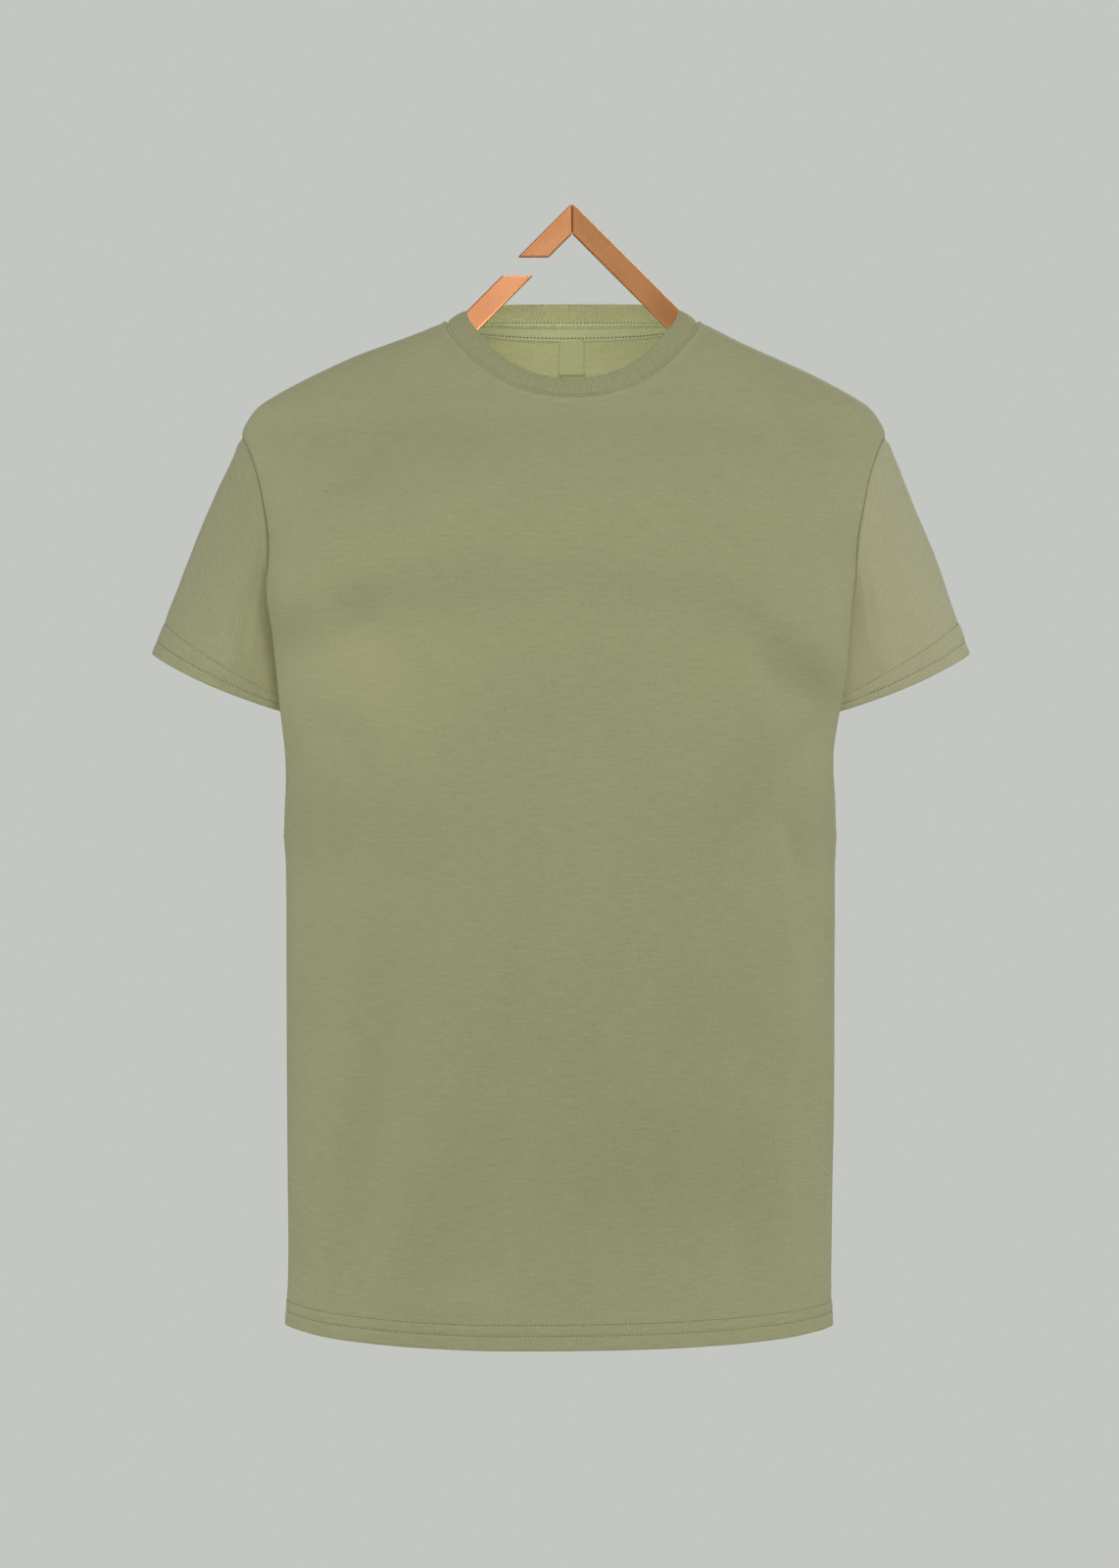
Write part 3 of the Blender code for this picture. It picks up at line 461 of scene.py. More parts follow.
def foldedHem(points, normals, uv, turnRadius, rowsUp):
    # Carries a sheet round its lower edge and up inside, as a turned-up hem
    down = unit(points[-1] - points[-2])
    centre = points[-1] - normals[-1] * turnRadius
    more, moreUv = [], []
    for angle in np.radians((36, 72, 108, 144)):
        more.append(centre + (normals[-1] * math.cos(angle) + down * math.sin(angle)) * turnRadius)
        moreUv.append(uv[-1] + [0, turnRadius * angle])
    lastUv = uv[-1, :, 1] + turnRadius * math.pi
    for row in rowsUp:
        more.append(points[row] - normals[row] * turnRadius * 2)
        moreUv.append(np.stack([uv[row, :, 0], lastUv + uv[-1, :, 1] - uv[row, :, 1]], axis=-1))
    return np.concatenate([points, np.array(more)]), np.concatenate([uv, np.array(moreUv)])


def makePanel(settings):
    side, columns = settings["side"], settings["columns"]
    u = np.linspace(0, 1, columns // 2 + 1)
    v = np.linspace(0, 1, settings["yokeRows"] + 1) ** 1.35
    hemTop = shirt["length"] - shirt["hemTurn"] - shirt["fineRows"] * shirt["fineStep"]
    lowDrops = np.concatenate([
        np.linspace(shirt["armpit"], hemTop, settings["lowRows"] + 1)[1:],
        hemTop + shirt["fineStep"] * np.arange(1, shirt["fineRows"] + 1),
    ])
    turn, drop = panelPlaces(side, u, v, lowDrops)
    halves = [leaned(bodyPoints(side, mirror, turn, drop)) for mirror in (-1, 1)]
    halfNormals = [bodyNormals(side, mirror, turn, drop) for mirror in (-1, 1)]
    points, normals = (np.concatenate([h[0][:, :0:-1], h[1]], axis=1) for h in (halves, halfNormals))
    allDrop = np.concatenate([drop[:, :0:-1], drop], axis=1)
    x = points[..., 0]
    acrossShare = np.abs(np.linspace(-1, 1, columns + 1))
    neck = points[0, acrossShare <= shirt["neckShare"] + 1e-6]
    fromNeck = np.full(x.shape, 1.0)
    near = settings["yokeRows"] // 2
    fromNeck[:near] = np.linalg.norm(points[:near, :, None] - neck[None, None], axis=-1).min(axis=-1)
    fromSide = lengthsAcross(points)
    fromSide = np.minimum(fromSide, fromSide[:, -1:] - fromSide)
    fromTop = lengthsAlong(points)
    fromShoulder = np.where(acrossShare[None] >= shirt["neckShare"], fromTop, 1.0)
    fromSeam = np.minimum(fromSide, fromShoulder)
    free = ramp(0.0, 0.020, np.minimum(fromSeam, fromNeck))
    facing = ramp(0.30, 0.80, np.abs(normals[..., 1]))
    lift = shelfLift(settings["shelf"], x, allDrop) * facing
    lift = (creaseLift(settings["creases"], x, allDrop) + lift) * free
    lift += softNoise(points, 0.085, 11 + side) * 0.00055 * free
    lift += softNoise(points * [1.0, 1.0, 0.45], 0.030, 31 + side) * 0.00016 * free
    lift += softNoise(points, 0.013, 51 + side) * 0.00004 * ramp(0.0, 0.006, fromSeam)
    lift += section(seamSection, fromSeam) + section(neckSection, fromNeck)
    # The hem is two layers, pulled down at its two rows of stitches and roped a little between them
    fromEdge = shirt["length"] - allDrop
    aroundArc = lengthsAcross(points)
    inHem = 1 - ramp(shirt["hemDeep"] - 0.0015, shirt["hemDeep"] + 0.0010, fromEdge)
    lift += 0.00045 * inHem
    for row in stitching["bodyRows"]:
        lift -= 0.00060 * hump(fromEdge, row, 0.0011)
    uneven = 1.6 * softNoise(points, 0.06, 71 + side)
    roping = np.sin(2 * math.pi * (aroundArc / 0.0135 + fromEdge / 0.022) + uneven)
    lift += 0.00016 * roping * inHem * ramp(0.0, 0.02, fromSide)
    wavy = softNoise(points * [1.0, 1.0, 0.2], 0.050, 91 + side)
    lift += 0.0007 * wavy * (1 - ramp(0.005, 0.060, fromEdge)) * free
    points = points + normals * lift[..., None]
    points[..., 1] += side * shirt["halfSeam"]
    uv = np.stack([aroundArc - aroundArc[:, columns // 2 : columns // 2 + 1], allDrop], axis=-1)
    surfaceNormals = gridNormals(points)
    surfaceNormals *= np.sign((surfaceNormals * normals).sum(axis=-1, keepdims=True))
    rowsUp = [len(points) - 1 - k for k in (1, 4, 7, 10, 13, 16, 18)]
    allPoints, allUv = foldedHem(points, normals, uv, shirt["hemTurn"], rowsUp)
    name = "frontBodyPanel" if side < 0 else "backBodyPanel"
    piece = clothFromGrid(name, allPoints, allUv, normals, thick=shirt["cloth"])
    longest = fromTop[-1].max() + shirt["hemInside"]
    print(f"{name}: widest {aroundArc[:, -1].max():.3f} m, longest {longest:.3f} m")
    return piece, points, surfaceNormals, {"fromNeck": fromNeck, "fromEdge": fromEdge}


def lineOfStitches(mesh, line, facing, bold):
    # Short raised threads, evenly spaced on a line that lies on the cloth
    along = lengthsAlong(line)
    count = max(int(along[-1] / stitching["pitch"]), 1)
    centres = (np.arange(count) + 0.5) * along[-1] / count
    middle, ahead, behind = (pointsAt(centres + nudge, along, line) for nudge in (0, 0.0008, -0.0008))
    up = unit(pointsAt(centres, along, facing))
    thick = (bold * stitching["wide"] / 2, bold * stitching["high"] / 2)
    size = Matrix.Diagonal((stitching["long"] / 2, *thick, 1))
    for centre, front, back, out in zip(middle, ahead, behind, up):
        way = Vector(front - back).normalized()
        out = Vector(out)
        out = (out - way * out.dot(way)).normalized()
        turn = Matrix((way, out.cross(way), out)).transposed().to_4x4()
        place = Matrix.Translation(Vector(centre) + out * stitching["lift"])
        bmesh.ops.create_uvsphere(mesh, u_segments=6, v_segments=4, radius=1.0, matrix=place @ turn @ size)


def contourLine(points, normals, field, level):
    # The line on a panel where a field first passes a level, column by column
    line, facing = [], []
    for j in range(points.shape[1]):
        values = field[:, j]
        crossed = np.nonzero((values[:-1] - level) * (values[1:] - level) <= 0)[0]
        if len(crossed):
            i = crossed[0]
            s = (level - values[i]) / (values[i + 1] - values[i])
            line.append(points[i, j] * (1 - s) + points[i + 1, j] * s)
            facing.append(normals[i, j] * (1 - s) + normals[i + 1, j] * s)
    return np.array(line), np.array(facing)


def sewnRows(name, surface, normals, field, rows, bold=1.0):
    # A piece of threads: a line of stitches wherever the field passes the value of a row
    mesh = bmesh.new()
    for row in rows:
        line, facing = contourLine(surface, normals, field, row)
        lineOfStitches(mesh, line, facing, bold)
    return pieceFrom(name, mesh)


def sleeveForm(mirror):
    # The sleeve's rows from the armhole to its hem, as columns round from the top by the front
    halfAround = sleeves["around"] // 2
    shares = np.linspace(0, 1, halfAround + 1)
    edge, bodyNormal = [], []
    for side, part in ((-1, shares), (1, shares[::-1][1:])):
        turn, drop = armholeEdge(side, part)
        edge.append(leaned(bodyPoints(side, mirror, turn, drop)))
        bodyNormal.append(bodyNormals(side, mirror, turn, drop))
    edge, bodyNormal = np.concatenate(edge), np.concatenate(bodyNormal)
    angle = math.pi * np.concatenate([shares, 2 - shares[::-1][1:]])
    for where in (0, halfAround, -1):
        edge[where, 1] = 0.0
    tip, inner = np.array(sleeves["tip"]), np.array(sleeves["inner"])
    flat = (tip + inner) / 2 + (tip - inner) / 2 * np.cos(angle)[:, None]
    roundness = np.where(np.cos(angle) > 0, sleeves["outerRound"], sleeves["innerRound"])
    y = sleeves["setBack"] - sleeves["halfDeep"] * np.sign(np.sin(angle)) * np.abs(np.sin(angle)) ** roundness
    drop = flat[:, 1] + sleeves["sag"] * np.sin(angle) ** 2
    hem = leaned(np.stack([mirror * flat[:, 0], y, drop], axis=-1))
    low = np.sin(angle / 2)[:, None]
    away = unit(unit(hem - edge) * (1 - low) + bodyNormal * low)
    below = np.sqrt(np.maximum(-np.cos(angle), 0))[:, None]
    start = edge + away * sleeves["gap"]
    tilt = math.atan2(inner[1] - tip[1], tip[0] - inner[0])
    outward = np.array([mirror * math.cos(tilt), 0, math.sin(tilt)])
    bulge = outward * np.maximum(np.cos(angle), 0)[:, None] * sleeves["bulgeOut"]
    bulge[:, 1] -= np.sin(angle) * sleeves["bulgeRound"]
    reach = np.linalg.norm(hem - start, axis=-1).mean()
    seamShare, hemShare = 0.10, sleeves["hemReach"] / reach
    seamRows, hemRows = sleeves["seamRows"], sleeves["hemRows"]
    s = np.concatenate([
        np.linspace(0, 1, seamRows + 1)[:-1] ** 1.4 * seamShare,
        np.linspace(seamShare, 1 - hemShare, sleeves["along"] - seamRows - hemRows)[:-1],
        np.linspace(1 - hemShare, 1 - shirt["hemTurn"] / reach, hemRows + 1),
    ])[:, None, None]
    under = bodyNormal * below**2 * sleeves["bulgeUnder"]
    points = start * (1 - s) + hem * s + bulge * 4 * s * (1 - s) + under * 9.5 * s * (1 - s) ** 3
    return points, angle / (2 * math.pi), s[:, 0, 0], reach


def makeSleeve(name, mirror, seed):
    points, around, s, reach = sleeveForm(mirror)
    closedAcross = np.concatenate([points[:, -2:-1], points, points[:, 1:2]], axis=1)
    normals = gridNormals(closedAcross)[:, 1:-1]
    normals *= np.sign(((points - points.mean(axis=1, keepdims=True)) * normals).sum())
    lift = np.zeros(points.shape[:2])
    shift = 0.012 * math.sin(seed) if mirror > 0 else 0
    for startTurn, startS, endTurn, endS, width, height in sleeves["creases"]:
        share = np.clip((s[:, None] - startS) / (endS - startS), -0.3, 1.3)
        off = around[None] + shift - startTurn - (endTurn - startTurn) * share
        off = (off + 0.5) % 1.0 - 0.5
        lift += height * hump(off, 0, width) * ramp(-0.1, 0.3, share) * (1 - ramp(0.75, 1.1, share))
    free = ramp(0.0, 0.10, s)[:, None]
    lift = lift * free
    lift += softNoise(points, 0.060, seed) * 0.00045 * free
    lift += softNoise(points, 0.022, seed + 3) * 0.00013 * free
    fromSeam, fromEdge = s[:, None] * reach, (1 - s)[:, None] * reach
    lift += section(sleeveSection, fromSeam)
    inHem = 1 - ramp(sleeves["hemDeep"] - 0.0015, sleeves["hemDeep"] + 0.0010, fromEdge)
    lift += 0.00045 * inHem
    for row in sleeves["stitchRows"]:
        lift -= 0.00055 * hump(fromEdge, row, 0.0011)
    lift += 0.00014 * inHem * np.sin(around[None] * 2 * math.pi * 26 + fromEdge * 280 + seed)
    points = points + normals * lift[..., None]
    points[:, -1] = points[:, 0]
    arc = lengthsAcross(points)
    uv = np.stack([arc, np.broadcast_to(s[:, None] * reach, arc.shape)], axis=-1)
    rowsUp = [len(points) - 1 - k for k in (1, 4, 8, 12, 16, 18)]
    allPoints, allUv = foldedHem(points, normals, uv, shirt["hemTurn"], rowsUp)
    piece = clothFromGrid(name, allPoints, allUv, normals, closed=True, thick=shirt["cloth"])
    edges = np.broadcast_to(fromEdge, arc.shape)
    threads = sewnRows(name + "Stitches", points, normals, edges, sleeves["stitchRows"])
    longest = lengthsAlong(points)[-1].max() + shirt["hemInside"]
    top, foot = arc[0, -1], arc[-1, -1]
    print(f"{name}: around {top:.3f} m at the armhole, {foot:.3f} m at the hem, longest {longest:.3f} m")
    return piece, threads


def neckLoop():
    # The neck's edge all round from the front centre, right side first
    halfAround = band["around"] // 4
    shares = np.linspace(0, 1, halfAround + 1)
    parts = []
    for side, mirror, backwards in ((-1, 1, False), (1, 1, True), (1, -1, False), (-1, -1, True)):
        edge = spaced(neckEdge(side), shares)
        turn = turnAt(side, edge[:, 1], edge[:, 0], 0)
        turn[-1] = 1.0
        part = leaned(bodyPoints(side, mirror, turn, edge[:, 1]))
        part = part[::-1] if backwards else part
        parts.append(part[:-1])
    loop = np.concatenate(parts)
    loop[np.abs(loop[:, 1]) < 1e-5, 1] = 0.0
    return loop


def bandLean(points, deepest):
    # The way the band stands up from these points of the neck's edge: inwards, most of all at the sides
    turned = np.arctan2(np.abs(points[:, 0]) / shirt["neckHalf"], -points[:, 1] / deepest)
    inward = smoothCurve(band["leanAngles"], band["lean"], np.degrees(turned))
    inward = inward - band["skew"] * np.sin(turned) * np.sign(points[:, 0])
    level = np.hypot(points[:, 0], points[:, 1])
    inX, inY = -points[:, 0] / level * inward, -points[:, 1] / level * inward
    return np.stack([inX, inY, np.sqrt(1 - inward**2)], axis=-1)


def makeBand():
    loop = neckLoop()
    lean = bandLean(loop, np.abs(loop[:, 1]).max())
    across = np.linspace(0, 1, 12)
    height = band["gap"] + (band["width"] - band["rim"] - band["gap"]) * across
    outer = loop[None] + lean[None] * height[:, None, None]
    wrapped = np.concatenate([outer[:, -1:], outer, outer[:, :1]], axis=1)
    normal = gridNormals(wrapped)[:, 1:-1]
    normal *= np.sign(((outer - outer.mean(axis=1, keepdims=True)) * normal).sum())
    uneven = softNoise(outer, 0.035, 5) * 0.00020 + softNoise(outer, 0.012, 6) * 0.00007
    lift = band["crown"] * np.sin(across * math.pi)[:, None] + uneven * ramp(0, 0.25, across)[:, None]
    lift = lift - 0.0003 * hump(across, 0, 0.10)[:, None]
    outer = outer + normal * lift[..., None]
    # The band's foot goes down behind the neck's edge, where the seam's allowance is
    footIn, footDown = (0.0016, 0.0013, band["wall"] + 0.0010), (0.0030, 0.0004, 0.0030)
    tuckLow, tuckHigh, foot = (outer[0] - normal[0] * i - lean * d for i, d in zip(footIn, footDown))
    bend = band["wall"] / 2
    centre = outer[-1] - normal[-1] * bend
    angles = np.radians((30, 60, 90, 120, 150))[:, None, None]
    top = centre + (normal[-1] * np.cos(angles) + lean * np.sin(angles)) * bend
    inner = outer[::-1] - normal[::-1] * band["wall"]
    grid = np.concatenate([[tuckLow, tuckHigh], outer, top, inner, [foot, tuckLow]])
    grid = np.concatenate([grid, grid[:, :1]], axis=1)
    arc, down = lengthsAlong(grid[0]), lengthsAlong(grid[:, 0])
    uv = np.stack(np.broadcast_arrays(arc[None], down[:, None]), axis=-1)
    outward = np.broadcast_to(np.concatenate([lean, lean[:1]]), grid.shape)
    piece = clothFromGrid("neckbandRib", grid, uv, outward, closed=True)
    print(f"neckband: {arc[-1]:.3f} m round at the seam")
    return piece


def insideBack(surface, normals, distances, positions, depthIn):
    # Points inside the back panel, at these distances down from its neck edge and these columns
    layer = surface - normals * depthIn
    lines = []
    for place in positions:
        before = min(int(place), layer.shape[1] - 2)
        line = layer[:, before] * (before + 1 - place) + layer[:, before + 1] * (place - before)
        lines.append(pointsAt(distances, lengthsAlong(line), line))
    return np.stack(lines, axis=1)


def makeTapeAndLabel(surface, normals):
    middle, columns = surface.shape[1] // 2, backPanel["columns"]
    depthIn = shirt["cloth"] + 0.0008
    reach = tape["reach"] * columns / 2
    down = np.linspace(0.0, tape["bottom"], 11)
    positions = middle + np.linspace(-reach, reach, tape["columns"] + 1)
    points = insideBack(surface, normals, down, positions, depthIn)
    farther = insideBack(surface, normals, down, positions, depthIn + tape["overFoot"])
    points += (farther - points) * (1 - ramp(0.0030, 0.0065, down))[:, None, None]
    lean = bandLean(points[0], np.abs(points[0, :, 1]).max())
    over = [points[0] + lean * tape["overBand"] * share for share in (1.0, 0.5)]
    points = np.concatenate([np.array(over), points])
    for _ in range(40):
        points[1:-1] = (points[:-2] + 2 * points[1:-1] + points[2:]) / 4
    down = lengthsAlong(points[:, len(positions) // 2])
    facing = gridNormals(points)
    facing *= -np.sign(facing[..., 1:2])
    ripple = 0.00010 * np.sin(np.linspace(0, 70, len(positions)))[None, :, None]
    points = points + facing * (ripple + 0.00025 * np.sin(np.linspace(0, math.pi, 13))[:, None, None])
    for row in tape["stitchRows"]:
        points = points - facing * 0.00030 * hump(down, row, 0.0008)[:, None, None]
    arc = lengthsAcross(points)
    uv = np.stack(np.broadcast_arrays(arc, down[:, None]), axis=-1)
    tapePiece = clothFromGrid("neckTapeTwill", points, uv, facing, thick=tape["thick"])
    depths = np.broadcast_to(down[:, None], arc.shape)
    threads = sewnRows("neckTapeStitches", points, facing, depths, tape["stitchRows"], tape["bold"])
    half = label["half"] / (shirt["neckHalf"] / (shirt["neckShare"] * columns / 2))
    down = np.linspace(label["top"], label["bottom"], 13)
    positions = middle + np.linspace(-half, half, 9)
    points = insideBack(surface, normals, down, positions, depthIn)
    facing = gridNormals(points)
    facing *= -np.sign(facing[..., 1:2])
    overTape = label["overTape"] * (1 - ramp(tape["bottom"], tape["bottom"] + 0.004, down))[:, None, None]
    points = points + facing * (overTape + 0.00020 * np.sin(np.linspace(0, math.pi, 13))[:, None, None])
    arc = lengthsAcross(points)
    uv = np.stack(np.broadcast_arrays(arc, down[:, None]), axis=-1)
    labelPiece = clothFromGrid("neckLabelBare", points, uv, facing, thick=label["thick"])
    return tapePiece, threads, labelPiece


def colourOf(hexValue):
    values = [int(hexValue[k : k + 2], 16) / 255 for k in (1, 3, 5)]
    return tuple(c / 12.92 if c <= 0.04045 else ((c + 0.055) / 1.055) ** 2.4 for c in values) + (1.0,)


def addNode(tree, kind, inputs=None, **settings):
    # One node with its settings; an input given as a socket is linked
    node = tree.nodes.new("ShaderNode" + kind)
    for key, value in settings.items():
        setattr(node, key, value)
    for key, value in (inputs or {}).items():
        if isinstance(value, bpy.types.NodeSocket):
            tree.links.new(value, node.inputs[key])
        else:
            node.inputs[key].default_value = value
    return node


def newMaterial(name, roughness, metallic=0.0, sheen=0.0):
    made = bpy.data.materials.new(name)
    made.use_nodes = True
    shader = made.node_tree.nodes["Principled BSDF"]
    shader.inputs["Roughness"].default_value = roughness
    shader.inputs["Metallic"].default_value = metallic
    shader.inputs["Sheen Weight"].default_value = sheen
    shader.inputs["Sheen Roughness"].default_value = 0.6
    return made, made.node_tree, shader


def mapPlace(tree):
    return addNode(tree, "UVMap", uv_map="clothMap").outputs["UV"]


def objectPlace(tree):
    return addNode(tree, "TexCoord").outputs["Object"]


def waves(tree, place, pitch, uneven, more=None, direction="X"):
    # A wave texture's bands are 0.31416 apart at scale 1
    inputs = {"Vector": place, "Scale": 0.31416 / pitch, "Distortion": uneven, **(more or {})}
    return addNode(tree, "TexWave", inputs, bands_direction=direction).outputs["Fac"]


def noise(tree, place, size, detail, **more):
    inputs = {"Vector": place, "Scale": 1 / size, "Detail": detail}
    return addNode(tree, "TexNoise", {**inputs, **more}).outputs["Fac"]


def weighted(tree, value, factor, added):
    return addNode(tree, "Math", {0: value, 1: factor, 2: added}, operation="MULTIPLY_ADD").outputs[0]


def tint(tree, shader, share, dark, light, ends=(0.0, 1.0)):
    # The base colour runs from dark to light between these shares
    tones = addNode(tree, "ValToRGB", {"Fac": share})
    for element, colour, position in zip(tones.color_ramp.elements, (dark, light), ends):
        element.color, element.position = colour, position
    tree.links.new(tones.outputs["Color"], shader.inputs["Base Color"])
    return tones.color_ramp.elements


def emboss(tree, shader, rise, strength, distance):
    bump = addNode(tree, "Bump", {"Height": rise, "Strength": strength, "Distance": distance})
    tree.links.new(bump.outputs["Normal"], shader.inputs["Normal"])


# Cotton single jersey, ring-spun: a matt knit with fine upright wales and faint sideways slubs. The real
# wales are about 0.7 mm apart, so they are drawn 1.9 mm apart to show.
jersey = {
    "wale": 0.0019, "course": 0.0015, "slubLong": 0.014, "slubHigh": 0.0017, "grain": 0.0026, "patch": 0.090,
}


def jerseyMaterial(name, light, mid, dark):
    made, tree, shader = newMaterial(name, 0.9, sheen=0.12)
    place, softly = mapPlace(tree), {"Detail": 1.0, "Detail Scale": 1.5}
    wales = waves(tree, place, jersey["wale"], 1.2, softly)
    courses = waves(tree, place, jersey["course"], 1.2, softly, "Y")
    loops = addNode(tree, "Math", {0: wales, 1: courses}, operation="MULTIPLY").outputs[0]
    slubScale = (1 / jersey["slubLong"], 1 / jersey["slubHigh"], 1.0)
    drawnOut = addNode(tree, "Mapping", {"Vector": place, "Scale": slubScale}).outputs[0]
    slub = noise(tree, drawnOut, 1.0, 2.0)
    grain = noise(tree, place, jersey["grain"], 2.0, Roughness=0.7)
    patches = noise(tree, objectPlace(tree), jersey["patch"], 2.0)
    fine = addNode(tree, "Math", {0: slub, 1: grain}, operation="ADD").outputs[0]
    every = weighted(tree, patches, 0.35, fine)
    share = addNode(tree, "MapRange", {0: every, 1: 0.70, 2: 1.65, 3: 0.0, 4: 1.0}).outputs[0]
    tones = tint(tree, shader, share, colourOf(dark), colourOf(light))
    tones.new(0.5).color = colourOf(mid)
    knit = weighted(tree, loops, 0.55, grain)
    emboss(tree, shader, weighted(tree, slub, 0.35, knit), 0.35, 0.0006)
    return made


def ribMaterial(name, light, dark):
    # 1x1 cotton rib: narrow raised wales across the band, 1.1 mm apart and drawn 2.0 mm apart to show
    made, tree, shader = newMaterial(name, 0.9, sheen=0.12)
    place = mapPlace(tree)
    ribs = waves(tree, place, 0.0020, 0.6, {"Detail": 1.0, "Detail Scale": 1.0})
    grain = noise(tree, place, 0.0025, 2.0)
    tint(tree, shader, weighted(tree, ribs, 0.35, grain), colourOf(dark), colourOf(light), (0.3, 0.9))
    emboss(tree, shader, weighted(tree, ribs, 1.4, grain), 0.5, 0.0006)
    return made


def tapeMaterial(name, light, dark, twill):
    # Cotton twill tape: a flat weave with slanting lines, 0.8 mm apart and drawn 1.6 mm apart to show
    made, tree, shader = newMaterial(name, 0.85, sheen=0.08)
    place = mapPlace(tree)
    slant = addNode(tree, "Mapping", {"Vector": place, "Rotation": (0, 0, math.radians(38))}).outputs[0]
    lines = waves(tree, slant, 0.0016, 0.5)
    share = weighted(tree, lines, twill, noise(tree, place, 0.0022, 2.0))
    tint(tree, shader, share, colourOf(dark), colourOf(light), (0.3, 0.9))
    emboss(tree, shader, share, 0.4, 0.0004)
    return made


def threadMaterial(name, tone):
    # Spun polyester sewing thread: a soft sheen along each stitch
    made, tree, shader = newMaterial(name, 0.6, sheen=0.1)
    twist = noise(tree, objectPlace(tree), 0.0006, 1.0)
    dark, light = (tuple(part * c for c in colourOf(tone)[:3]) + (1.0,) for part in (0.8, 1.15))
    tint(tree, shader, twist, dark, light)
    return made


def copperMaterial(name, light, dark, angle, roughness=0.36):
    # Copper-anodised aluminium bar, softly brushed along its length
    made, tree, shader = newMaterial(name, roughness, metallic=1.0)
    place = objectPlace(tree)
    turned = addNode(tree, "Mapping", {"Vector": place, "Rotation": (0, math.radians(angle), 0)}).outputs[0]
    brushScale = (1 / 0.060, 1 / 0.0012, 1 / 0.0012)
    brushed = addNode(tree, "Mapping", {"Vector": turned, "Scale": brushScale}).outputs[0]
    streaks = noise(tree, brushed, 1.0, 3.0, Roughness=0.6)
    share = weighted(tree, streaks, 0.6, noise(tree, place, 0.05, 1.0))
    span = addNode(tree, "MapRange", {0: share, 1: 0.5, 2: 1.1, 3: 0.0, 4: 1.0}).outputs[0]
    tint(tree, shader, span, colourOf(dark), colourOf(light))
    smooth, matt = roughness - 0.03, roughness + 0.05
    finish = addNode(tree, "MapRange", {0: streaks, 1: 0.3, 2: 0.7, 3: smooth, 4: matt})
    tree.links.new(finish.outputs[0], shader.inputs["Roughness"])
    return made


def dress(piece, material, slot, *nodes):
    piece.data.materials.append(material)
    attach(piece, "root")
    if nodes:
        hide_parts(*nodes)
    return piece


# Camera and light
view = {"place": (-0.009, -2.05, -0.393), "lens": 65.9, "film": 36.0, "backdrop": "#c4c6c1"}
camera = bpy.data.objects.new("camera", bpy.data.cameras.new("camera"))
camera.location, camera.rotation_euler = view["place"], (math.radians(90), 0, 0)
camera.data.sensor_fit, camera.data.sensor_height, camera.data.lens = "VERTICAL", view["film"], view["lens"]
bpy.context.scene.collection.objects.link(camera)
bpy.context.scene.camera = camera
bpy.context.scene.view_settings.view_transform = "Standard"
world = bpy.data.worlds.new("paleRoom")
world.use_nodes = True
# The room is seen as one pale grey; it lights the shirt less, and least from overhead
sky = addNode(world.node_tree, "TexCoord")
height = addNode(world.node_tree, "SeparateXYZ", {"Vector": sky.outputs["Generated"]})
ceiling = addNode(world.node_tree, "MapRange", {0: height.outputs["Z"], 1: 0.36, 2: 0.80, 3: 0.455, 4: 0.30})
seen = addNode(world.node_tree, "LightPath").outputs["Is Camera Ray"]
strength = addNode(world.node_tree, "Math", {0: seen, 1: ceiling.outputs[0]}, operation="MAXIMUM")
backdrop = world.node_tree.nodes["Background"]
backdrop.inputs["Color"].default_value = colourOf(view["backdrop"])
world.node_tree.links.new(strength.outputs[0], backdrop.inputs["Strength"])
bpy.context.scene.world = world
# Name, place, aims at, width and height, power in watts, whether it casts shadows
for lampName, spot, aim, size, power, shadow in (
    ("keyLight", (0.7, -2.3, 1.2), (0.0, 0.0, -0.38), (1.1, 1.1), 10, True),
    ("highLight", (0.1, -1.7, 1.5), (0.0, 0.0, -0.38), (1.1, 1.1), 15, True),
    ("rightFill", (2.5, -1.15, -0.4), (0.0, 0.0, -0.40), (1.2, 1.2), 21, False),
    ("leftFill", (-2.5, -1.15, -0.4), (0.0, 0.0, -0.40), (1.2, 1.2), 24, False),
    ("hangerLight", (-0.25, -2.0, 0.28), (-0.03, 0.0, -0.04), (0.3, 0.3), 0.75, False),
    ("rightEdge", (1.2, -0.30, -1.0), (0.0, 0.0, -0.05), (0.18, 0.18), 0.6, False),
    ("leftEdge", (-1.2, -0.30, -1.0), (0.0, 0.0, -0.05), (0.18, 0.18), 0.6, False),
    ("underarmLight", (0.9, -1.6, -0.55), (-0.240, -0.03, -0.305), (0.1, 0.1), 0.006, False),
    ("backLight", (0.6, 2.5, 1.0), (0.0, 0.0, -0.4), (1.4, 1.4), 34, True),
    ("neckLight", (0.0, -0.036, -0.098), (0.0, 0.06, -0.080), (0.08, 0.03), 0.056, True),
):
    lamp = bpy.data.objects.new(lampName, bpy.data.lights.new(lampName, "AREA"))
    lamp.data.shape = "RECTANGLE"
    lamp.data.size, lamp.data.size_y = size
    lamp.data.energy = power
    lamp.data.use_shadow = shadow
    lamp.location = spot
    lamp.rotation_euler = (Vector(aim) - Vector(spot)).to_track_quat("-Z", "Y").to_euler()
    lamp.visible_camera = False
    bpy.context.scene.collection.objects.link(lamp)
bpy.data.lights["underarmLight"].spread = math.radians(6)
bpy.data.lights["neckLight"].color = (0.92, 1.0, 0.75)
print("camera and lights are set")

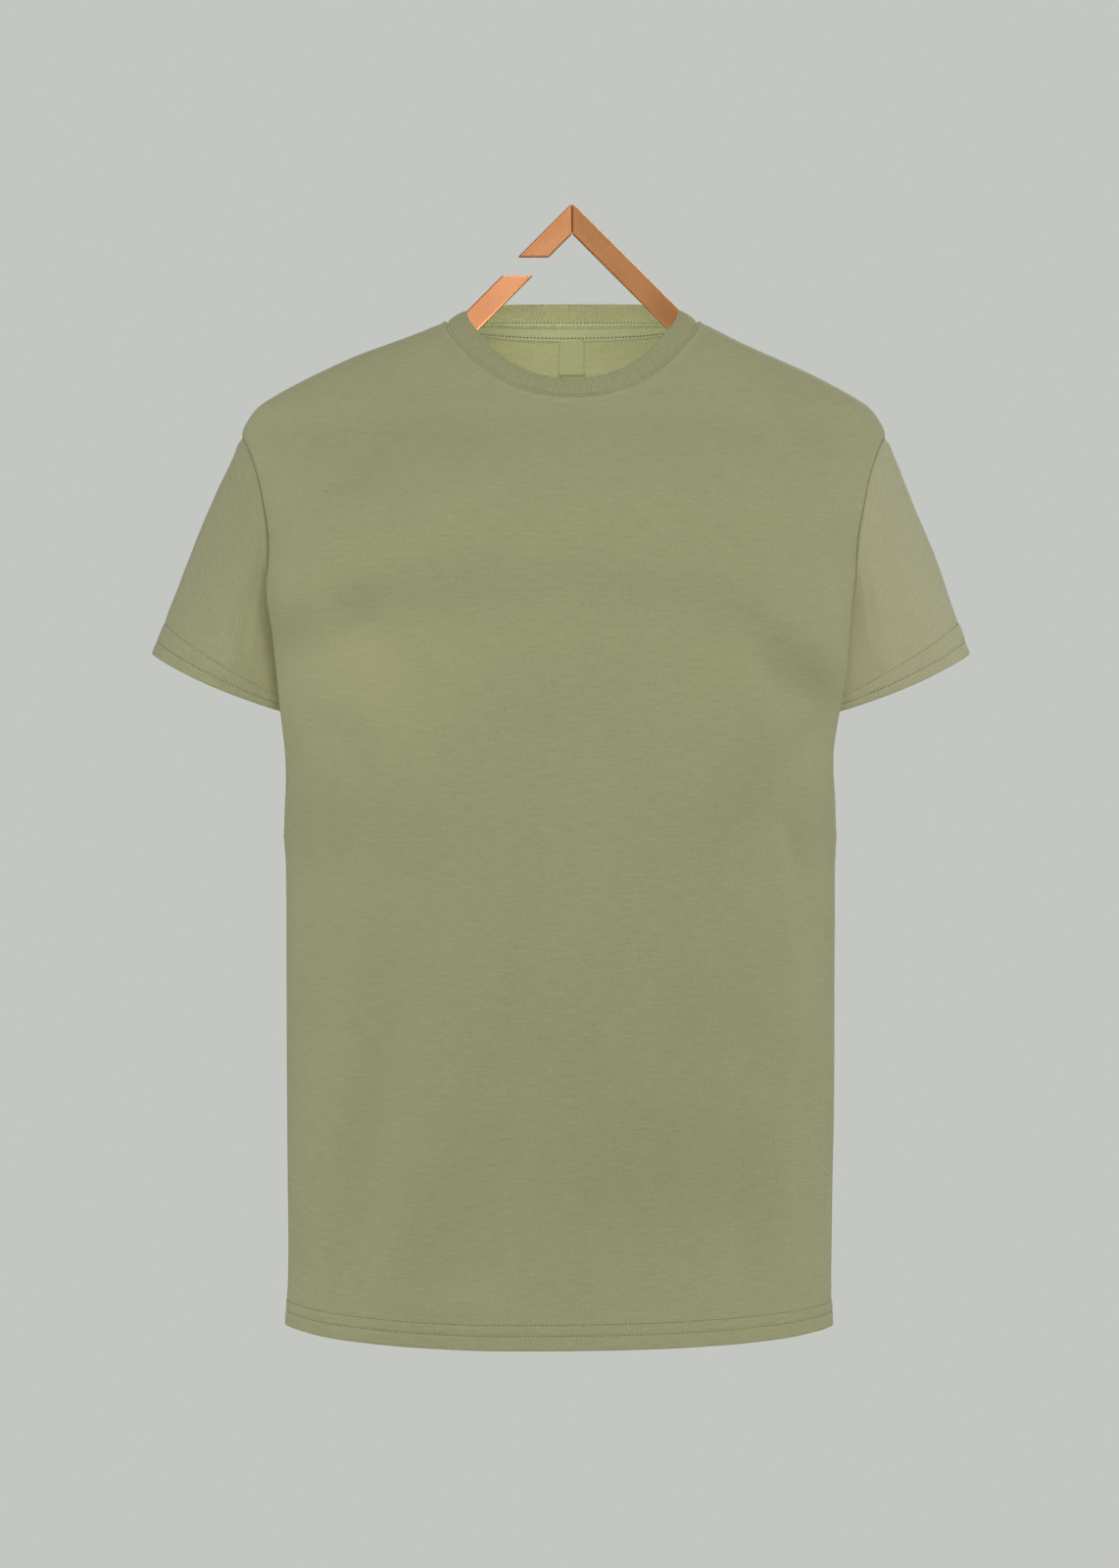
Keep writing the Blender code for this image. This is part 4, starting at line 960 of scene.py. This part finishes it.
bodyJersey = jerseyMaterial("sageCottonJersey", "#abab82", "#a3a37b", "#9b9b74")
# The right sleeve's jersey is a lighter copy of the body's and the left sleeve's a darker copy: painted light
# on the right sleeve and painted shade on the left, for light falling from the right.
rightJerseyPaintedLight = jerseyMaterial("sageCottonJerseyRightPaintedLight", "#b5b490", "#adac89", "#a5a482")
leftJerseyPaintedShade = jerseyMaterial("sageCottonJerseyLeftPaintedShade", "#a6a67f", "#9e9e78", "#969671")
rib = ribMaterial("sageCottonRib", "#a7a77e", "#95956d")
twill = tapeMaterial("sageTwillTape", "#b2b38f", "#a1a27f", 0.35)
labelCloth = tapeMaterial("bareLabelCloth", "#a8aa80", "#9c9e75", 0.12)
thread = threadMaterial("olivePolyesterThread", "#787857")
tapeThread = threadMaterial("deepOliveThread", "#4c4c2c")

front, frontSurface, frontNormals, frontFields = makePanel(frontPanel)
back, backSurface, backNormals, backFields = makePanel(backPanel)
for piece, settings in ((front, frontPanel), (back, backPanel)):
    dress(piece, bodyJersey, "body_jersey", settings["node"])
print("front and back panels are made")

for surface, normals, fields, word in (
    (frontSurface, frontNormals, frontFields, "front"), (backSurface, backNormals, backFields, "back"),
):
    for part, field, rows in (("Hem", "fromEdge", "bodyRows"), ("Neck", "fromNeck", "neckRows")):
        threads = sewnRows(word + part + "Stitches", surface, normals, fields[field], stitching[rows])
        dress(threads, thread, "body_jersey")
print("hem and neck stitching is sewn")

# Each sleeve gets its own lit or shaded copy of the jersey: painted light on the right sleeve, painted shade
# on the left.
for hand, mirror, seed, cloth in (("right", 1, 17, rightJerseyPaintedLight), ("left", -1, 23, leftJerseyPaintedShade)):
    sleeve, sleeveStitches = makeSleeve(hand + "SleeveCloth", mirror, seed)
    dress(sleeve, cloth, "sleeve_jersey", hand + "_sleeve")
    dress(sleeveStitches, thread, "sleeve_jersey")
print("sleeves are made")

bandPiece = dress(makeBand(), rib, "band_rib", "neckband")
tapePiece, tapeStitches, labelPiece = makeTapeAndLabel(backSurface, backNormals)
dress(tapePiece, twill, "tape_twill", "neck_tape")
dress(tapeStitches, tapeThread, "tape_twill")
dress(labelPiece, labelCloth, "label_print", "neck_label")
print("neckband, tape and label are made")

# Each bar has its own pair of copper tones, lightest on the left arm and darkest on the right arm and bottom
# bar: painted light and painted shade for how the light falls on each bar.
hanger = {
    "hook_bar": ("#eaa676", "#c98857", 45), "left_arm_bar": ("#ffb684", "#f0a070", 45),
    "right_arm_bar": ("#cc8e60", "#ac754a", -45), "right_shoulder_bar": ("#dd9a6a", "#b97b50", -27),
    "left_shoulder_bar": ("#dd9a6a", "#b97b50", 27), "bottom_bar": ("#c98a60", "#a8714a", 0),
}
mitre = {"wide": 0.0007, "deep": 0.0036, "high": 0.0188, "below": 0.0106, "edge": 0.00015}
for node, (light, dark, angle) in hanger.items():
    copper = copperMaterial(node + "BrushedCopperPaintedLight", light, dark, angle)
    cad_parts[node].material_slots[0].material = copper
# The mitre's fine groove is filled just behind the face by a near-black copper piece: painted shade for the
# groove's darkness
mitreShadeMesh = bmesh.new()
bmesh.ops.create_cube(mitreShadeMesh, size=1.0)
armBox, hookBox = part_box("right_arm_bar"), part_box("hook_bar")
bmesh.ops.scale(mitreShadeMesh, vec=(mitre["wide"], mitre["deep"], mitre["high"]), verts=mitreShadeMesh.verts[:])
middle = Vector(((armBox[0].x + hookBox[1].x) / 2, 0.0, armBox[1].z - mitre["below"]))
bmesh.ops.translate(mitreShadeMesh, vec=middle, verts=mitreShadeMesh.verts[:])
bmesh.ops.bevel(
    mitreShadeMesh, geom=mitreShadeMesh.edges[:], offset=mitre["edge"], segments=2, affect="EDGES", profile=0.5,
    material=-1,
)
# Near-black copper: painted shade in the mitre's groove.
mitreShadeCopper = copperMaterial("mitrePaintedShade", "#4a2f1e", "#38220f", 0)
dress(pieceFrom("mitreShadeFill", mitreShadeMesh), mitreShadeCopper, "hanger_copper")
print("hanger is finished")

room = {"halfFloor": (7.0, 4.1, 1.0), "floorMiddle": (0.0, -2.9, -1.30)}
floorMesh = bmesh.new()
bmesh.ops.create_grid(floorMesh, x_segments=1, y_segments=1, size=1.0)
bmesh.ops.scale(floorMesh, vec=room["halfFloor"], verts=floorMesh.verts[:])
bmesh.ops.translate(floorMesh, vec=room["floorMiddle"], verts=floorMesh.verts[:])
floor = pieceFrom("floor", floorMesh)
paleFloor, floorTree, floorShader = newMaterial("palePaintedFloor", 0.8)
speckle = addNode(floorTree, "TexNoise", {"Vector": objectPlace(floorTree), "Scale": 6.0}).outputs["Fac"]
tint(floorTree, floorShader, speckle, colourOf("#c0c2bd"), colourOf("#c6c8c3"))
floor.data.materials.append(paleFloor)
print("floor is laid")
